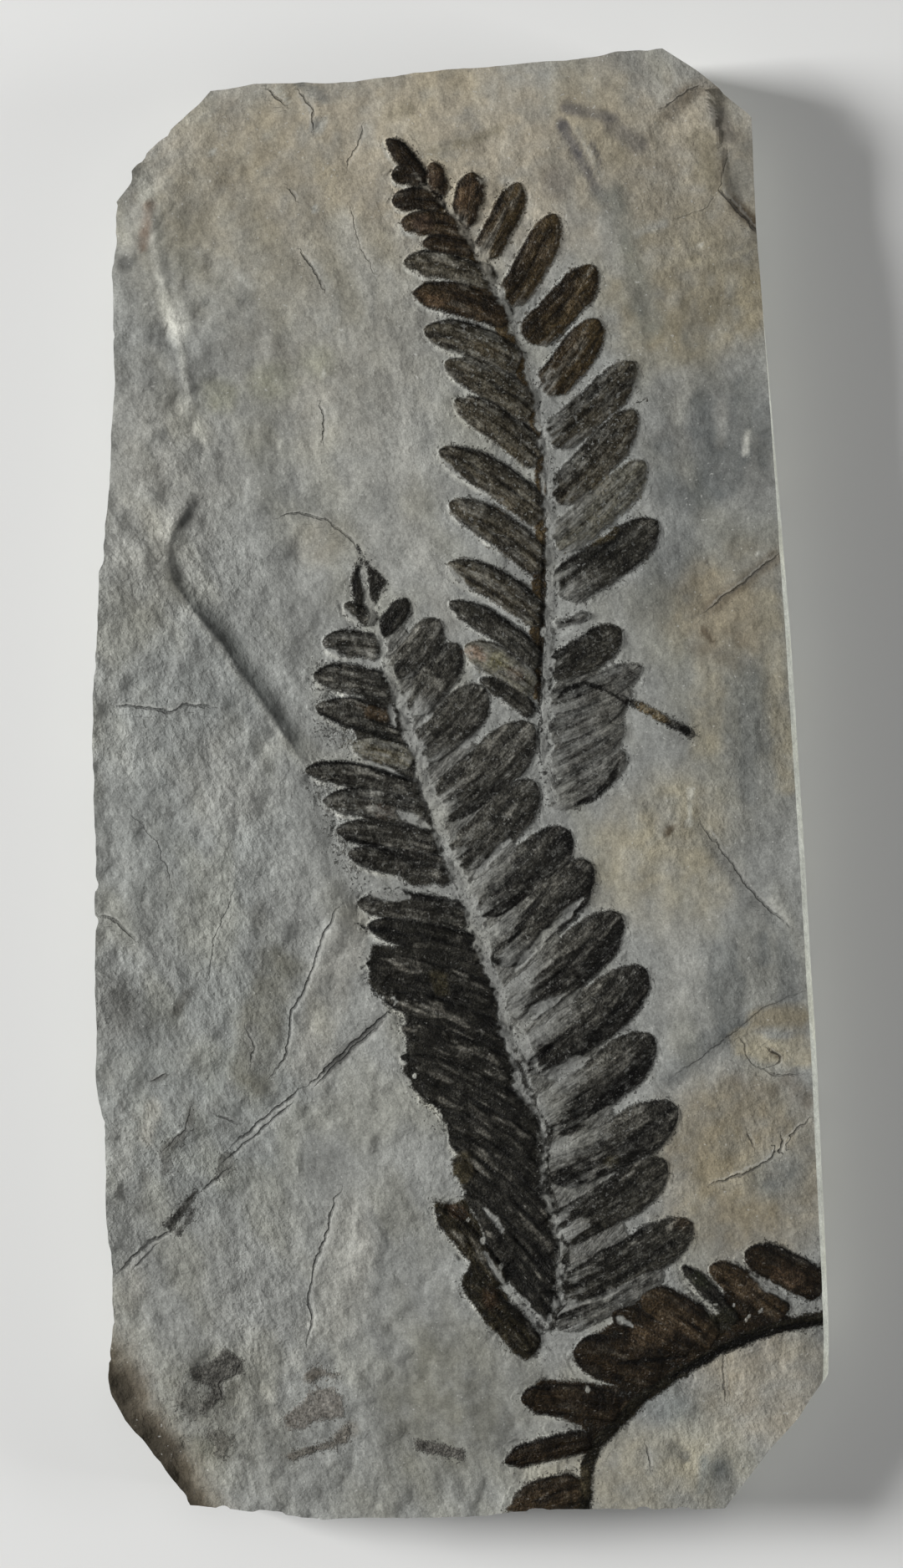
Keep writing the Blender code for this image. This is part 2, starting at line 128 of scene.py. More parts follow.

# Smears and patches with firmer edges, some of them painted light and painted shade: points along the
# middle, width, softness, colour and strength
SMEARS_AND_PAINTED_LIGHT = (
    # Painted shade: the soft dark bands beside the cracks on the right, below their ledges
    (((37.2, -22.0), (32.8, -24.9), (29.4, -27.6), (26.4, -29.9), (22.8, -32.4)), 0.8, 0.7, SOOT, 0.5),
    (((25.4, -4.4), (28.4, -8.7), (31.1, -12.4), (34.8, -15.8)), 1.0, 0.9, SLATE_BLUE, 0.38),
    # Upper left
    # Painted highlights along the low ridge beside the left side
    (((-34.6, 65.3), (-33.8, 61.1), (-32.7, 55.6), (-31.8, 52.0)), 1.4, 0.8, CHALK_AND_HIGHLIGHT, 0.55),
    (((-30.8, 48.6), (-30.1, 43.8), (-29.1, 40.6), (-28.0, 37.3)), 0.6, 0.35, CHALK_AND_HIGHLIGHT, 0.8),
    (((-34.0, 63.0), (-34.3, 60.6), (-34.7, 58.4)), 0.9, 0.5, RUSTY, 0.95),
    (((-20.0, 75.6), (-18.9, 74.2)), 0.5, 0.3, CHALK_AND_HIGHLIGHT, 0.6),
    (((-17.8, 76.4), (-15.0, 74.6)), 1.0, 0.4, SOOT, 0.85),
    (((-16.3, 71.2), (-15.8, 72.0)), 0.9, 0.3, SOOT, 0.8),
    (((-15.4, 71.0), (-15.0, 72.2)), 0.5, 0.3, CHALK_AND_HIGHLIGHT, 0.5),
    (((-16.0, 56.6), (-14.5, 54.4)), 0.7, 0.4, CHALK_AND_HIGHLIGHT, 0.4),
    (((-26.5, 54.7), (-23.6, 51.8)), 0.35, 0.3, DIM, 0.7),
    (((-25.6, 57.0), (-22.8, 53.6)), 0.3, 0.3, CHALK_AND_HIGHLIGHT, 0.3),
    (((-21.8, 40.5), (-20.8, 31.0)), 3.2, 1.4, DIM, 0.45),
    (((-19.9, 37.0), (-18.4, 30.4)), 0.5, 0.35, CHALK_AND_HIGHLIGHT, 0.4),
    (((-26.0, 62.0), (-22.0, 57.0)), 1.6, 1.2, DIM, 0.3),
    (((-13.0, 61.0), (-11.0, 55.0)), 2.2, 1.4, PALE, 0.5),
    (((-3.5, 68.7), (0.0, 69.8), (4.0, 71.3)), 0.8, 0.5, DUSK, 0.8),
    (((-7.5, 72.6), (-6.0, 73.6)), 1.0, 0.6, DUSK, 0.6),
    (((-7.0, 36.0), (-5.0, 27.0), (-1.0, 17.0)), 2.2, 1.6, PALE, 0.6),
    # Upper right
    (((10.9, 71.7), (12.0, 69.6), (13.4, 66.9), (15.5, 63.7)), 1.1, 0.3, MAUVE, 0.9),
    (((14.0, 69.9), (15.1, 67.8)), 0.5, 0.25, MAUVE, 0.8),
    (((12.6, 71.2), (13.9, 68.7), (15.2, 66.0)), 0.35, 0.25, PALE, 0.6),
    (((11.4, 73.6), (16.4, 72.5)), 1.0, 0.5, MAUVE, 0.65),
    (((16.4, 71.7), (19.4, 69.6)), 1.6, 0.6, MAUVE, 0.5),
    (((16.0, 63.8), (18.6, 56.0), (20.4, 50.0)), 2.4, 1.6, DIM, 0.9),
    (((15.4, 61.5), (17.0, 56.0)), 1.6, 0.9, PALE, 0.6),
    (((22.3, 73.2), (24.6, 75.2), (27.6, 76.4)), 1.7, 0.6, UMBER, 0.6),
    (((27.6, 73.6), (29.2, 70.6)), 1.5, 0.6, MAUVE, 0.4),
    (((26.0, 69.8), (27.2, 65.8)), 2.8, 0.5, DUSK, 0.75),
    (((28.8, 69.0), (27.8, 65.6)), 0.5, 0.3, UMBER, 0.5),
    (((29.8, 63.4), (31.0, 62.0), (32.0, 61.2)), 1.3, 0.4, UMBER, 0.85),
    (((30.3, 67.0), (30.9, 64.5)), 2.2, 0.7, COOL, 0.3),
    (((20.0, 67.5), (23.0, 66.6)), 0.8, 0.5, UMBER, 0.35),
    (((19.0, 60.0), (22.0, 61.0)), 0.7, 0.5, PALE, 0.6),
    (((22.0, 57.2), (24.4, 56.6), (29.0, 57.4)), 0.5, 0.4, BUFF, 0.45),
    (((29.6, 57.6), (31.6, 58.4)), 0.4, 0.3, BUFF, 0.7),
    (((25.8, 41.2), (26.6, 36.0), (27.0, 31.0)), 2.6, 0.8, SLATE_BLUE, 0.62),
    (((28.4, 41.5), (28.4, 37.0)), 0.7, 0.5, PALE, 0.5),
    (((31.0, 43.2), (30.2, 38.0), (28.6, 32.5)), 2.8, 0.8, SLATE_BLUE, 0.6),
    (((33.0, 41.8), (33.0, 35.0)), 1.5, 0.7, SLATE_BLUE, 0.5),
    (((21.8, 36.4), (21.8, 31.6)), 2.2, 0.7, SLATE_BLUE, 0.5),
    (((24.8, 31.4), (23.0, 27.0), (21.0, 21.5)), 4.0, 1.6, SLATE_BLUE, 0.5),
    (((30.8, 36.2), (31.0, 38.2)), 0.5, 0.3, GLARE, 0.5),
    (((24.2, 44.5), (23.6, 40.0)), 1.4, 0.8, PALE, 0.5),
    # Right side
    (((27.0, 19.3), (31.3, 22.4), (34.2, 24.8)), 1.3, 0.5, UMBER, 0.55),
    (((26.2, 16.8), (27.4, 15.4)), 0.7, 0.3, UMBER, 0.8),
    (((25.6, 14.8), (30.0, 13.0)), 1.3, 0.7, UMBER, 0.3),
    (((29.0, 16.6), (30.6, 15.2)), 1.0, 0.5, UMBER, 0.35),
    (((30.8, 13.0), (31.3, 6.0), (31.0, -1.0)), 1.8, 0.8, SLATE_BLUE, 0.45),
    (((27.0, 12.0), (26.6, 4.0)), 2.6, 1.2, WARM, 0.6),
    (((33.6, 20.0), (34.4, 8.0), (35.4, 0.0)), 1.8, 0.9, WARM, 0.7),
    (((22.3, -5.3), (22.7, -4.7)), 0.6, 0.2, UMBER, 1.0),
    (((24.9, -0.6), (24.7, -4.2)), 0.45, 0.3, CHALK_AND_HIGHLIGHT, 0.55),
    (((20.6, -8.2), (21.8, -7.2)), 1.6, 0.8, BUFF, 0.4),
    (((27.4, -6.4), (30.4, -10.8), (32.6, -13.6)), 1.5, 0.8, SOOT, 0.5),
    (((33.6, -12.6), (35.6, -15.0)), 0.5, 0.3, CHALK_AND_HIGHLIGHT, 0.6),
    (((28.6, -18.4), (28.9, -25.6)), 3.4, 0.6, SLATE_BLUE, 0.55),
    (((32.8, -16.8), (33.0, -19.0)), 1.5, 0.5, SLATE_BLUE, 0.55),
    (((35.2, -17.4), (35.6, -23.6)), 2.2, 0.8, SLATE_BLUE, 0.45),
    (((24.0, -16.0), (23.4, -24.0)), 3.4, 1.5, PALE, 0.5),
    # Painted shade along the upper left of the curved ledge
    (((31.2, -25.4), (26.4, -28.6), (22.4, -31.6)), 2.2, 0.9, SLATE_BLUE, 0.5),
    (((32.3, -25.6), (36.8, -25.4)), 2.2, 0.8, DUSK, 0.9),
    (((30.8, -28.2), (33.6, -29.2), (37.4, -29.4)), 3.0, 0.5, BUFF, 0.55),
    (((36.0, -32.4), (37.6, -34.4)), 1.8, 0.7, UMBER, 0.5),
    (((33.6, -29.0), (34.8, -30.0)), 0.6, 0.3, UMBER, 0.9),
    (((29.8, -32.4), (34.0, -33.2)), 1.6, 0.9, UMBER, 0.3),
    # Lower right and foot
    (((26.4, -73.4), (26.0, -76.8)), 0.6, 0.4, MIST, 0.8),
    (((22.8, -72.0), (24.2, -73.2)), 0.9, 0.4, SOOT, 0.7),
    (((-13.4, -71.2), (-11.8, -70.2)), 1.4, 0.4, UMBER, 0.4),
    (((-16.9, -64.6), (-15.7, -64.2)), 0.8, 0.3, UMBER, 0.7),
    # Lower left: dark angular bits, pale bits, and the hollow and the raised plateau beside the long
    # cracks, darkened and lightened as painted shade and painted light
    (((-31.4, -72.6), (-30.0, -74.6)), 1.2, 0.5, SOOT, 0.5),
    (((-24.4, -73.0), (-23.4, -73.4)), 0.7, 0.3, INKY, 0.6),
    (((-22.6, -62.0), (-21.4, -63.6)), 0.8, 0.5, CHALK_AND_HIGHLIGHT, 0.3),
    (((-18.2, -62.2), (-17.6, -63.3)), 1.2, 0.4, CHALK_AND_HIGHLIGHT, 0.5),
    (((-21.5, -66.0), (-20.8, -66.9)), 1.0, 0.4, CHALK_AND_HIGHLIGHT, 0.5),
    (((-20.7, -68.5), (-20.1, -69.4)), 0.9, 0.4, CHALK_AND_HIGHLIGHT, 0.5),
    (((-11.8, -15.5), (-13.6, -19.5), (-15.4, -24.5), (-16.4, -30.4)), 4.0, 1.2, PALE, 0.8),
    (((-20.0, -20.0), (-21.4, -25.0), (-22.6, -31.4)), 4.6, 1.4, DIM, 0.85),
    (((-39.4, -22.0), (-35.4, -25.8)), 3.2, 1.2, SOOT, 0.5),
    (((-29.8, -22.7), (-31.2, -24.9)), 0.8, 0.4, SOOT, 0.8),
    (((-9.0, -25.7), (-11.8, -28.3), (-14.4, -31.0)), 1.0, 0.4, INKY, 0.8),
    (((-29.4, -35.0), (-29.9, -37.0)), 0.6, 0.3, BURNT, 0.45),
    (((-30.6, -38.4), (-32.4, -39.8), (-32.5, -42.4)), 0.8, 0.35, BURNT, 0.45),
    (((-33.8, -32.4), (-32.3, -31.8)), 0.5, 0.3, BURNT, 0.5),
    (((-22.9, -26.6), (-22.7, -30.6)), 1.0, 0.5, SOOT, 0.6),
    (((-33.6, -35.2), (-34.4, -38.6)), 1.4, 0.7, PALE, 0.9),
    (((-27.4, -33.0), (-25.4, -29.0)), 1.8, 0.9, MIST, 0.6),
    (((-37.1, -34.9), (-36.9, -35.3)), 0.8, 0.3, SOOT, 0.7),
    (((-35.9, -36.0), (-35.7, -36.4)), 0.6, 0.3, SOOT, 0.7),
    (((-34.6, -42.5), (-34.4, -43.0)), 0.8, 0.3, SOOT, 0.6),
    (((-34.9, -46.1), (-34.7, -46.6)), 0.8, 0.3, SOOT, 0.6),
    (((-37.5, -44.3), (-37.3, -44.9)), 0.8, 0.3, SOOT, 0.5),
    (((-12.4, -46.0), (-13.4, -52.0), (-15.0, -58.4)), 2.6, 1.0, CHALK_AND_HIGHLIGHT, 0.3),
    (((-30.6, 28.6), (-29.2, 31.2)), 1.3, 0.4, SOOT, 0.75),
    (((-28.4, 28.9), (-27.5, 26.9)), 0.8, 0.4, SOOT, 0.6),
)

# Cracks and scratches: points, width, darkness, and how far the left side of the way stands up
CRACKS = (
    (((-37.7, 8.5), (-33.8, 8.2), (-31.6, 7.8), (-30.1, 8.7), (-27.0, 8.2)), 0.28, 0.8, 0.05),
    (((-13.5, -13.7), (-15.3, -16.9), (-16.0, -19.5), (-17.5, -23.1), (-18.6, -24.9), (-18.7, -27.4),
      (-19.3, -30.0), (-20.7, -31.8)), 0.34, 0.85, 0.16),
    (((-13.3, -44.6), (-14.2, -46.6), (-14.6, -48.7), (-16.1, -52.8), (-16.7, -55.7), (-16.3, -58.6),
      (-16.9, -60.7)), 0.36, 0.8, 0.16),
    (((-19.7, 29.1), (-17.8, 29.5), (-15.0, 28.8), (-12.4, 27.0), (-11.3, 25.5)), 0.24, 0.65, 0.03),
    (((28.0, 64.6), (29.6, 63.1), (32.2, 60.0)), 0.34, 0.9, 0.0),
    (((28.9, 69.1), (28.0, 64.6)), 0.24, 0.5, 0.0),
    (((-10.8, 71.5), (-11.2, 69.5), (-12.2, 68.1), (-12.5, 67.1)), 0.25, 0.7, 0.04),
    (((-17.5, 57.9), (-16.4, 56.5), (-15.1, 54.0)), 0.26, 0.8, 0.05),
    (((-18.9, 64.8), (-18.0, 63.7)), 0.22, 0.7, 0.0),
    (((-15.4, 41.2), (-15.0, 39.2), (-15.1, 37.3)), 0.24, 0.75, 0.03),
    (((26.2, -4.4), (29.4, -8.7), (32.1, -12.4), (35.5, -15.4)), 0.32, 0.6, 0.10),
    (((27.4, -43.6), (30.1, -42.6), (33.5, -41.0), (35.2, -38.9), (37.8, -36.6)), 0.3, 0.85, -0.08),
    (((28.3, -62.0), (28.4, -64.4), (28.7, -67.2)), 0.24, 0.7, 0.03),
    (((20.1, -72.0), (20.5, -74.1)), 0.28, 0.8, 0.0), (((-21.0, 75.5), (-19.3, 74.0)), 0.3, 0.8, 0.05),
    (((-7.6, -24.6), (-11.2, -27.6), (-14.8, -31.2), (-16.4, -32.6)), 0.42, 1.0, 0.05),
    (((-17.7, -33.3), (-21.7, -36.6), (-25.1, -39.5)), 0.3, 1.0, 0.06),
    (((-25.8, -42.2), (-28.2, -44.2)), 0.3, 0.8, 0.0),
    (((-31.8, -48.8), (-34.1, -49.9), (-37.3, -53.2)), 0.4, 0.95, 0.05),
    (((-24.0, -63.0), (-24.7, -64.6), (-26.6, -64.9), (-25.7, -67.2)), 0.26, 0.6, 0.08),
    (((-39.2, -14.4), (-37.4, -15.2), (-35.6, -16.9)), 0.3, 0.8, 0.08),
    (((-23.3, -26.7), (-22.6, -28.6), (-22.9, -30.3)), 0.26, 0.7, 0.06),
    (((-26.5, -36.1), (-24.6, -36.9)), 0.24, 0.7, 0.05),
    (((-33.6, -32.3), (-32.3, -31.8)), 0.26, 0.8, 0.0),
    (((-29.4, -35.0), (-30.1, -37.6), (-32.3, -39.7)), 0.26, 0.7, 0.06),
    (((-13.9, -44.8), (-14.2, -47.7)), 0.24, 0.7, 0.05),
    (((26.8, 19.0), (28.6, 20.4), (31.3, 22.5), (34.4, 25.0)), 0.28, 0.7, 0.06),
    (((36.9, -22.7), (32.8, -24.5), (29.4, -27.2), (26.4, -29.5), (23.1, -31.9)), 0.24, 0.28, -0.06),
    (((30.2, -27.2), (31.4, -30.2), (33.4, -31.6), (36.8, -31.7)), 0.22, 0.45, 0.05),
    (((33.5, -28.8), (34.7, -29.8), (34.1, -30.5)), 0.22, 0.9, 0.0),
    (((31.2, -38.2), (31.8, -39.5)), 0.24, 0.95, 0.0), (((34.9, -38.2), (34.5, -40.3)), 0.24, 0.95, 0.0),
    (((-24.8, -12.0), (-27.0, -17.0), (-27.6, -21.0)), 0.2, 0.4, 0.05),
    (((-36.0, -3.0), (-33.0, -6.6), (-31.6, -11.0)), 0.2, 0.4, 0.06),
    (((-12.0, 62.6), (-11.0, 58.6), (-9.6, 55.8)), 0.18, 0.35, 0.05),
    (((22.8, 61.4), (26.6, 62.6), (27.9, 64.2)), 0.2, 0.2, 0.05),
    (((19.0, -60.2), (24.0, -66.0)), 0.16, 0.2, 0.03),
)
# The second line of the pressed stem, and other lines that run close beside one in the list above
SIDE_CRACKS = (
    (((-8.8, -26.0), (-12.3, -29.3), (-15.6, -32.6)), 0.4, 1.0, 0.0),
    (((-18.8, -35.1), (-22.8, -38.5), (-25.8, -41.2)), 0.26, 0.9, 0.0),
    (((-33.4, -50.4), (-35.6, -52.6)), 0.26, 0.8, 0.0),
    (((-16.2, 71.5), (-16.2, 73.2), (-17.7, 75.3)), 0.3, 0.7, 0.0),
    (((22.0, 73.7), (24.6, 75.4), (26.0, 76.0)), 0.25, 0.6, 0.0),
)

# A long pressed leaf, seen as a dent with a steep lower left wall, and the dent of a thick stem
LEAF_DENT = (
    (-29.3, 30.9), (-31.7, 27.1), (-32.0, 25.1), (-31.7, 22.4), (-30.2, 20.1), (-29.0, 18.5),
    (-27.3, 16.5), (-25.9, 14.9), (-24.7, 12.8), (-23.6, 11.3), (-22.1, 9.4), (-20.7, 7.4), (-19.7, 5.8),
    (-16.8, 1.5),
)
STEM_DENT = (
    (-8.0, -25.2), (-15.0, -31.6), (-22.6, -37.4), (-27.6, -43.6), (-31.1, -47.8), (-37.5, -52.2),
)
# A low ridge beside the left side, and the edge of the chip at the upper right
HIGH_RIDGE = ((-34.6, 65.3), (-33.8, 61.1), (-32.7, 55.6), (-30.7, 47.2), (-29.6, 41.8), (-27.9, 36.8))
CHIP_EDGE = ((28.2, 68.5), (29.0, 64.0), (30.4, 62.0), (32.6, 59.4))
# Pale grains: centre and radius
PALE_GRAINS = (
    (-16.0, 62.6, 0.4), (-15.1, 44.8, 0.25), (-27.1, 68.7, 0.35), (25.9, 58.5, 0.3), (32.3, 25.2, 0.25),
    (-33.8, 51.0, 0.4), (-34.6, 52.3, 0.3), (-30.1, 44.6, 0.35), (-31.2, 33.0, 0.45), (-33.2, 20.6, 0.3),
)

# Scraps of other plants' film: outline, colour, and how thin
SCRAPS = (
    (((-25.8, -61.7), (-23.9, -62.7), (-23.9, -64.3), (-25.2, -64.3), (-26.4, -65.2), (-25.8, -66.4),
      (-26.8, -67.6), (-28.2, -68.7), (-29.1, -68.0), (-27.4, -66.8), (-27.0, -65.6), (-28.7, -65.2),
      (-29.7, -64.8), (-29.5, -63.7), (-27.4, -63.1)), (0.072, 0.072, 0.070), 0.08),
    (((-31.1, -65.6), (-29.1, -66.0), (-28.2, -68.0), (-29.5, -69.3), (-30.7, -68.5), (-31.3, -67.2)),
     (0.11, 0.11, 0.105), 0.5),
    (((-28.2, -70.7), (-26.6, -70.1), (-25.2, -71.3), (-25.8, -73.2), (-27.0, -73.4), (-26.8, -72.0)),
     (0.10, 0.098, 0.092), 0.4),
    (((-19.8, -68.9), (-18.0, -68.0), (-16.7, -66.4), (-14.3, -65.8), (-13.0, -66.8), (-13.0, -68.9),
      (-15.5, -69.3), (-17.5, -70.1), (-19.2, -69.9)), (0.125, 0.115, 0.107), 0.35),
    (((-17.2, -64.3), (-15.9, -63.5), (-13.4, -64.1), (-13.6, -64.8), (-14.8, -64.5), (-16.4, -65.2)),
     (0.10, 0.09, 0.08), 0.4),
    (((-19.2, -73.0), (-15.5, -71.7), (-13.8, -71.3), (-12.6, -69.5), (-11.8, -70.5), (-12.6, -71.7),
      (-16.3, -73.0), (-18.8, -73.6)), (0.10, 0.095, 0.088), 0.25),
    (((-5.4, -71.3), (0.2, -72.5), (0.1, -73.7), (-4.9, -72.6)), (0.075, 0.074, 0.072), 0.1),
    (((-32.5, -48.2), (-31.3, -46.6), (-30.2, -45.3), (-29.0, -44.0), (-28.9, -44.7), (-29.9, -46.0),
      (-30.6, -47.2), (-31.9, -48.8)), (0.022, 0.022, 0.021), 0.2),
    (((-31.4, -48.9), (-30.2, -47.6), (-29.4, -46.2), (-28.9, -46.4), (-29.9, -48.1), (-30.9, -49.3)),
     (0.026, 0.026, 0.025), 0.3),
    (((-26.9, -42.9), (-26.7, -40.4), (-25.3, -40.2), (-24.7, -41.4), (-25.3, -42.6)),
     (0.040, 0.040, 0.038), 0.5),
    (((-33.0, -40.4), (-32.3, -38.9), (-30.4, -38.0), (-29.6, -36.0), (-29.1, -36.6), (-30.3, -39.0),
      (-31.7, -40.1), (-31.7, -42.3), (-32.5, -42.5)), (0.055, 0.055, 0.052), 0.62),
)


def soft(low, high, value):
    """0 up to low, 1 from high on, and a smooth change between; low may be the larger."""
    part = np.clip((value - low) / (high - low), 0.0, 1.0)
    return part * part * (3.0 - 2.0 * part)


def turned(x, y, lean):
    """Places measured along and across a lean in degrees."""
    angle = math.radians(lean)
    return x * math.cos(angle) + y * math.sin(angle), y * math.cos(angle) - x * math.sin(angle)


def oval(x, y, middle_x, middle_y, half_x, half_y, lean):
    """How far each place is from an oval's middle, as a part of the way to its edge."""
    along, across = turned(x - middle_x, y - middle_y, lean)
    return np.hypot(along / half_x, across / half_y)


def mottle(x, y, size, layer=0, stretch=1.0, lean=0.0):
    """Soft blotches from -1 to 1, this wide, and drawn out by stretch along a lean in degrees.

    Each layer is another part of the same random numbers, so no two uses show the same blotches.
    """
    along, across = turned(x, y, lean)
    along, across = along / (size * stretch) + 13.7 * layer, across / size + 7.9 * layer
    column, row = np.floor(along).astype(int), np.floor(across).astype(int)
    part_a, part_b = along - column, across - row
    part_a, part_b = part_a * part_a * (3 - 2 * part_a), part_b * part_b * (3 - 2 * part_b)
    column, row = column % 255, row % 255
    near = RANDOM[column, row] * (1 - part_a) + RANDOM[column + 1, row] * part_a
    far = RANDOM[column, row + 1] * (1 - part_a) + RANDOM[column + 1, row + 1] * part_a
    return 2.0 * (near * (1 - part_b) + far * part_b) - 1.0


OFF_LINE = 99.0  # the distance given to places out of a line's reach


def near_line(x, y, points, reach=7.0):
    """How far each place is from a line, plus on its left, and what part of the way along it is."""
    points = np.array(points, float)
    low, high = points.min(axis=0) - reach, points.max(axis=0) + reach
    near = np.nonzero((x > low[0]) & (x < high[0]) & (y > low[1]) & (y < high[1]))[0]
    best, side, place = np.full(len(near), OFF_LINE), np.ones(len(near)), np.zeros(len(near))
    walked = 0.0
    for (ax, ay), (bx, by) in zip(points[:-1], points[1:]):
        length = math.hypot(bx - ax, by - ay)
        ux, uy = (bx - ax) / length, (by - ay) / length
        step = np.clip((x[near] - ax) * ux + (y[near] - ay) * uy, 0.0, length)
        away_x, away_y = x[near] - ax - step * ux, y[near] - ay - step * uy
        distance = np.hypot(away_x, away_y)
        closer = distance < best
        best[closer] = distance[closer]
        side[closer] = np.where(ux * away_y - uy * away_x < 0, -1.0, 1.0)[closer]
        place[closer] = (walked + step)[closer]
        walked += length
    offset, part = np.full(len(x), OFF_LINE), np.zeros(len(x))
    offset[near], part[near] = best * side, place / walked
    return offset, part


FAR_OUTSIDE = -6.0  # the least that any measure of how far inside a place is falls to


def inside_outline(x, y, outline):
    """How far each place is inside a closed outline; less than nothing outside it."""
    corners = np.array(outline)
    crossings = np.zeros(len(x), int)
    for (ax, ay), (bx, by) in zip(corners, np.roll(corners, -1, axis=0)):
        if ay != by:
            spans = (ay > y) != (by > y)
            crossings += spans & (x < ax + (bx - ax) * (y - ay) / (by - ay))
    distance = np.minimum(np.abs(near_line(x, y, (*outline, outline[0]))[0]), -FAR_OUTSIDE)
    return np.where(crossings % 2 == 1, distance, -distance)


def leaf_shape(x, y, base_x, base_y, tip_x, tip_y, width, hand, pointed, arch, foot):
    """How far inside a leaf's edge each place is, and where it lies along and across the leaf.

    Hand is 1 for a leaf on its stem's right and -1 on its left. Across is plus on the side that faces
    the frond's tip, arch lifts the leaf's middle towards that side, and foot is how wide the base is.
    """
    length = math.hypot(tip_x - base_x, tip_y - base_y)
    ux, uy = (tip_x - base_x) / length, (tip_y - base_y) / length
    along = (x - base_x) * ux + (y - base_y) * uy
    across = ((y - base_y) * ux - (x - base_x) * uy) * hand
    part = np.clip(along / length, 0.0, 1.0)
    across = across - arch * length * 4.0 * part * (1.0 - part)
    shoulder = 0.74 - 0.42 * pointed
    rounding = np.clip((part - shoulder) / (1.0 - shoulder), 0.0, 1.0)
    end = (1.0 - rounding ** 2) ** (0.5 + 0.2 * pointed)
    heel = np.clip(1.0 - (along + 0.4) / (0.4 * width), 0.0, 1.0)
    half = width / 2 * (foot + (1.0 - foot) * soft(0.0, 0.45, part)) * end * (1.0 - 0.6 * heel ** 2)
    beyond = np.maximum(along - length, 0.0)
    inside = np.where(beyond > 0, -np.hypot(beyond, across), half - np.abs(across))
    inside = np.minimum(inside, np.maximum(along + 0.4, FAR_OUTSIDE))
    return inside, along, across, half


WORN_CORNER = (-38.8, -64.8)  # where the worn cut at the lower left meets the left side
WORN_ACROSS = (0.844, 0.536)  # the way straight in from the cut
CORNER_WEAR = 1.6  # how far the cut's own edge is worn down


def from_worn_corner(x, y):
    """How far each place is in from the worn cut at the lower left corner."""
    return (x - WORN_CORNER[0]) * WORN_ACROSS[0] + (y - WORN_CORNER[1]) * WORN_ACROSS[1]


def face_height(x, y):
    """How far the split face rises and dips, the worn lower left corner and the small chip included."""
    rise = np.empty(len(x))
    for index, (px, py) in enumerate(zip(x, y)):
        broad = noise.noise(Vector((px / 55.0, py / 55.0, 2.7)))
        fine = noise.noise(Vector((px / 21.0, py / 21.0, 8.1)))
        rise[index] = FACE_WARP * (broad + 0.35 * fine)
    rise -= CORNER_WEAR * (1.0 - soft(-1.0, 6.0, from_worn_corner(x, y)))
    chip, _ = near_line(x, y, CHIP_EDGE)
    rise -= soft(0.0, 0.35, chip) * (0.25 + 0.11 * np.clip(chip, 0, 5)) * (chip < 20)
    return rise


GRAIN_LEAN = -62  # the way that the shale's fine relief and mottles are drawn out, in degrees
STEP_RELIEF = 1.5  # how strongly the small steps of the face stand out
# The marks of stone that no film, crack or dent is on
NO_FILM = (0.02, 0.02, 0.018, 0.0)
NO_CRACK = (3.0, 0.0, 0.3)
NO_DENT = (6.0, 0.0, 0.0)


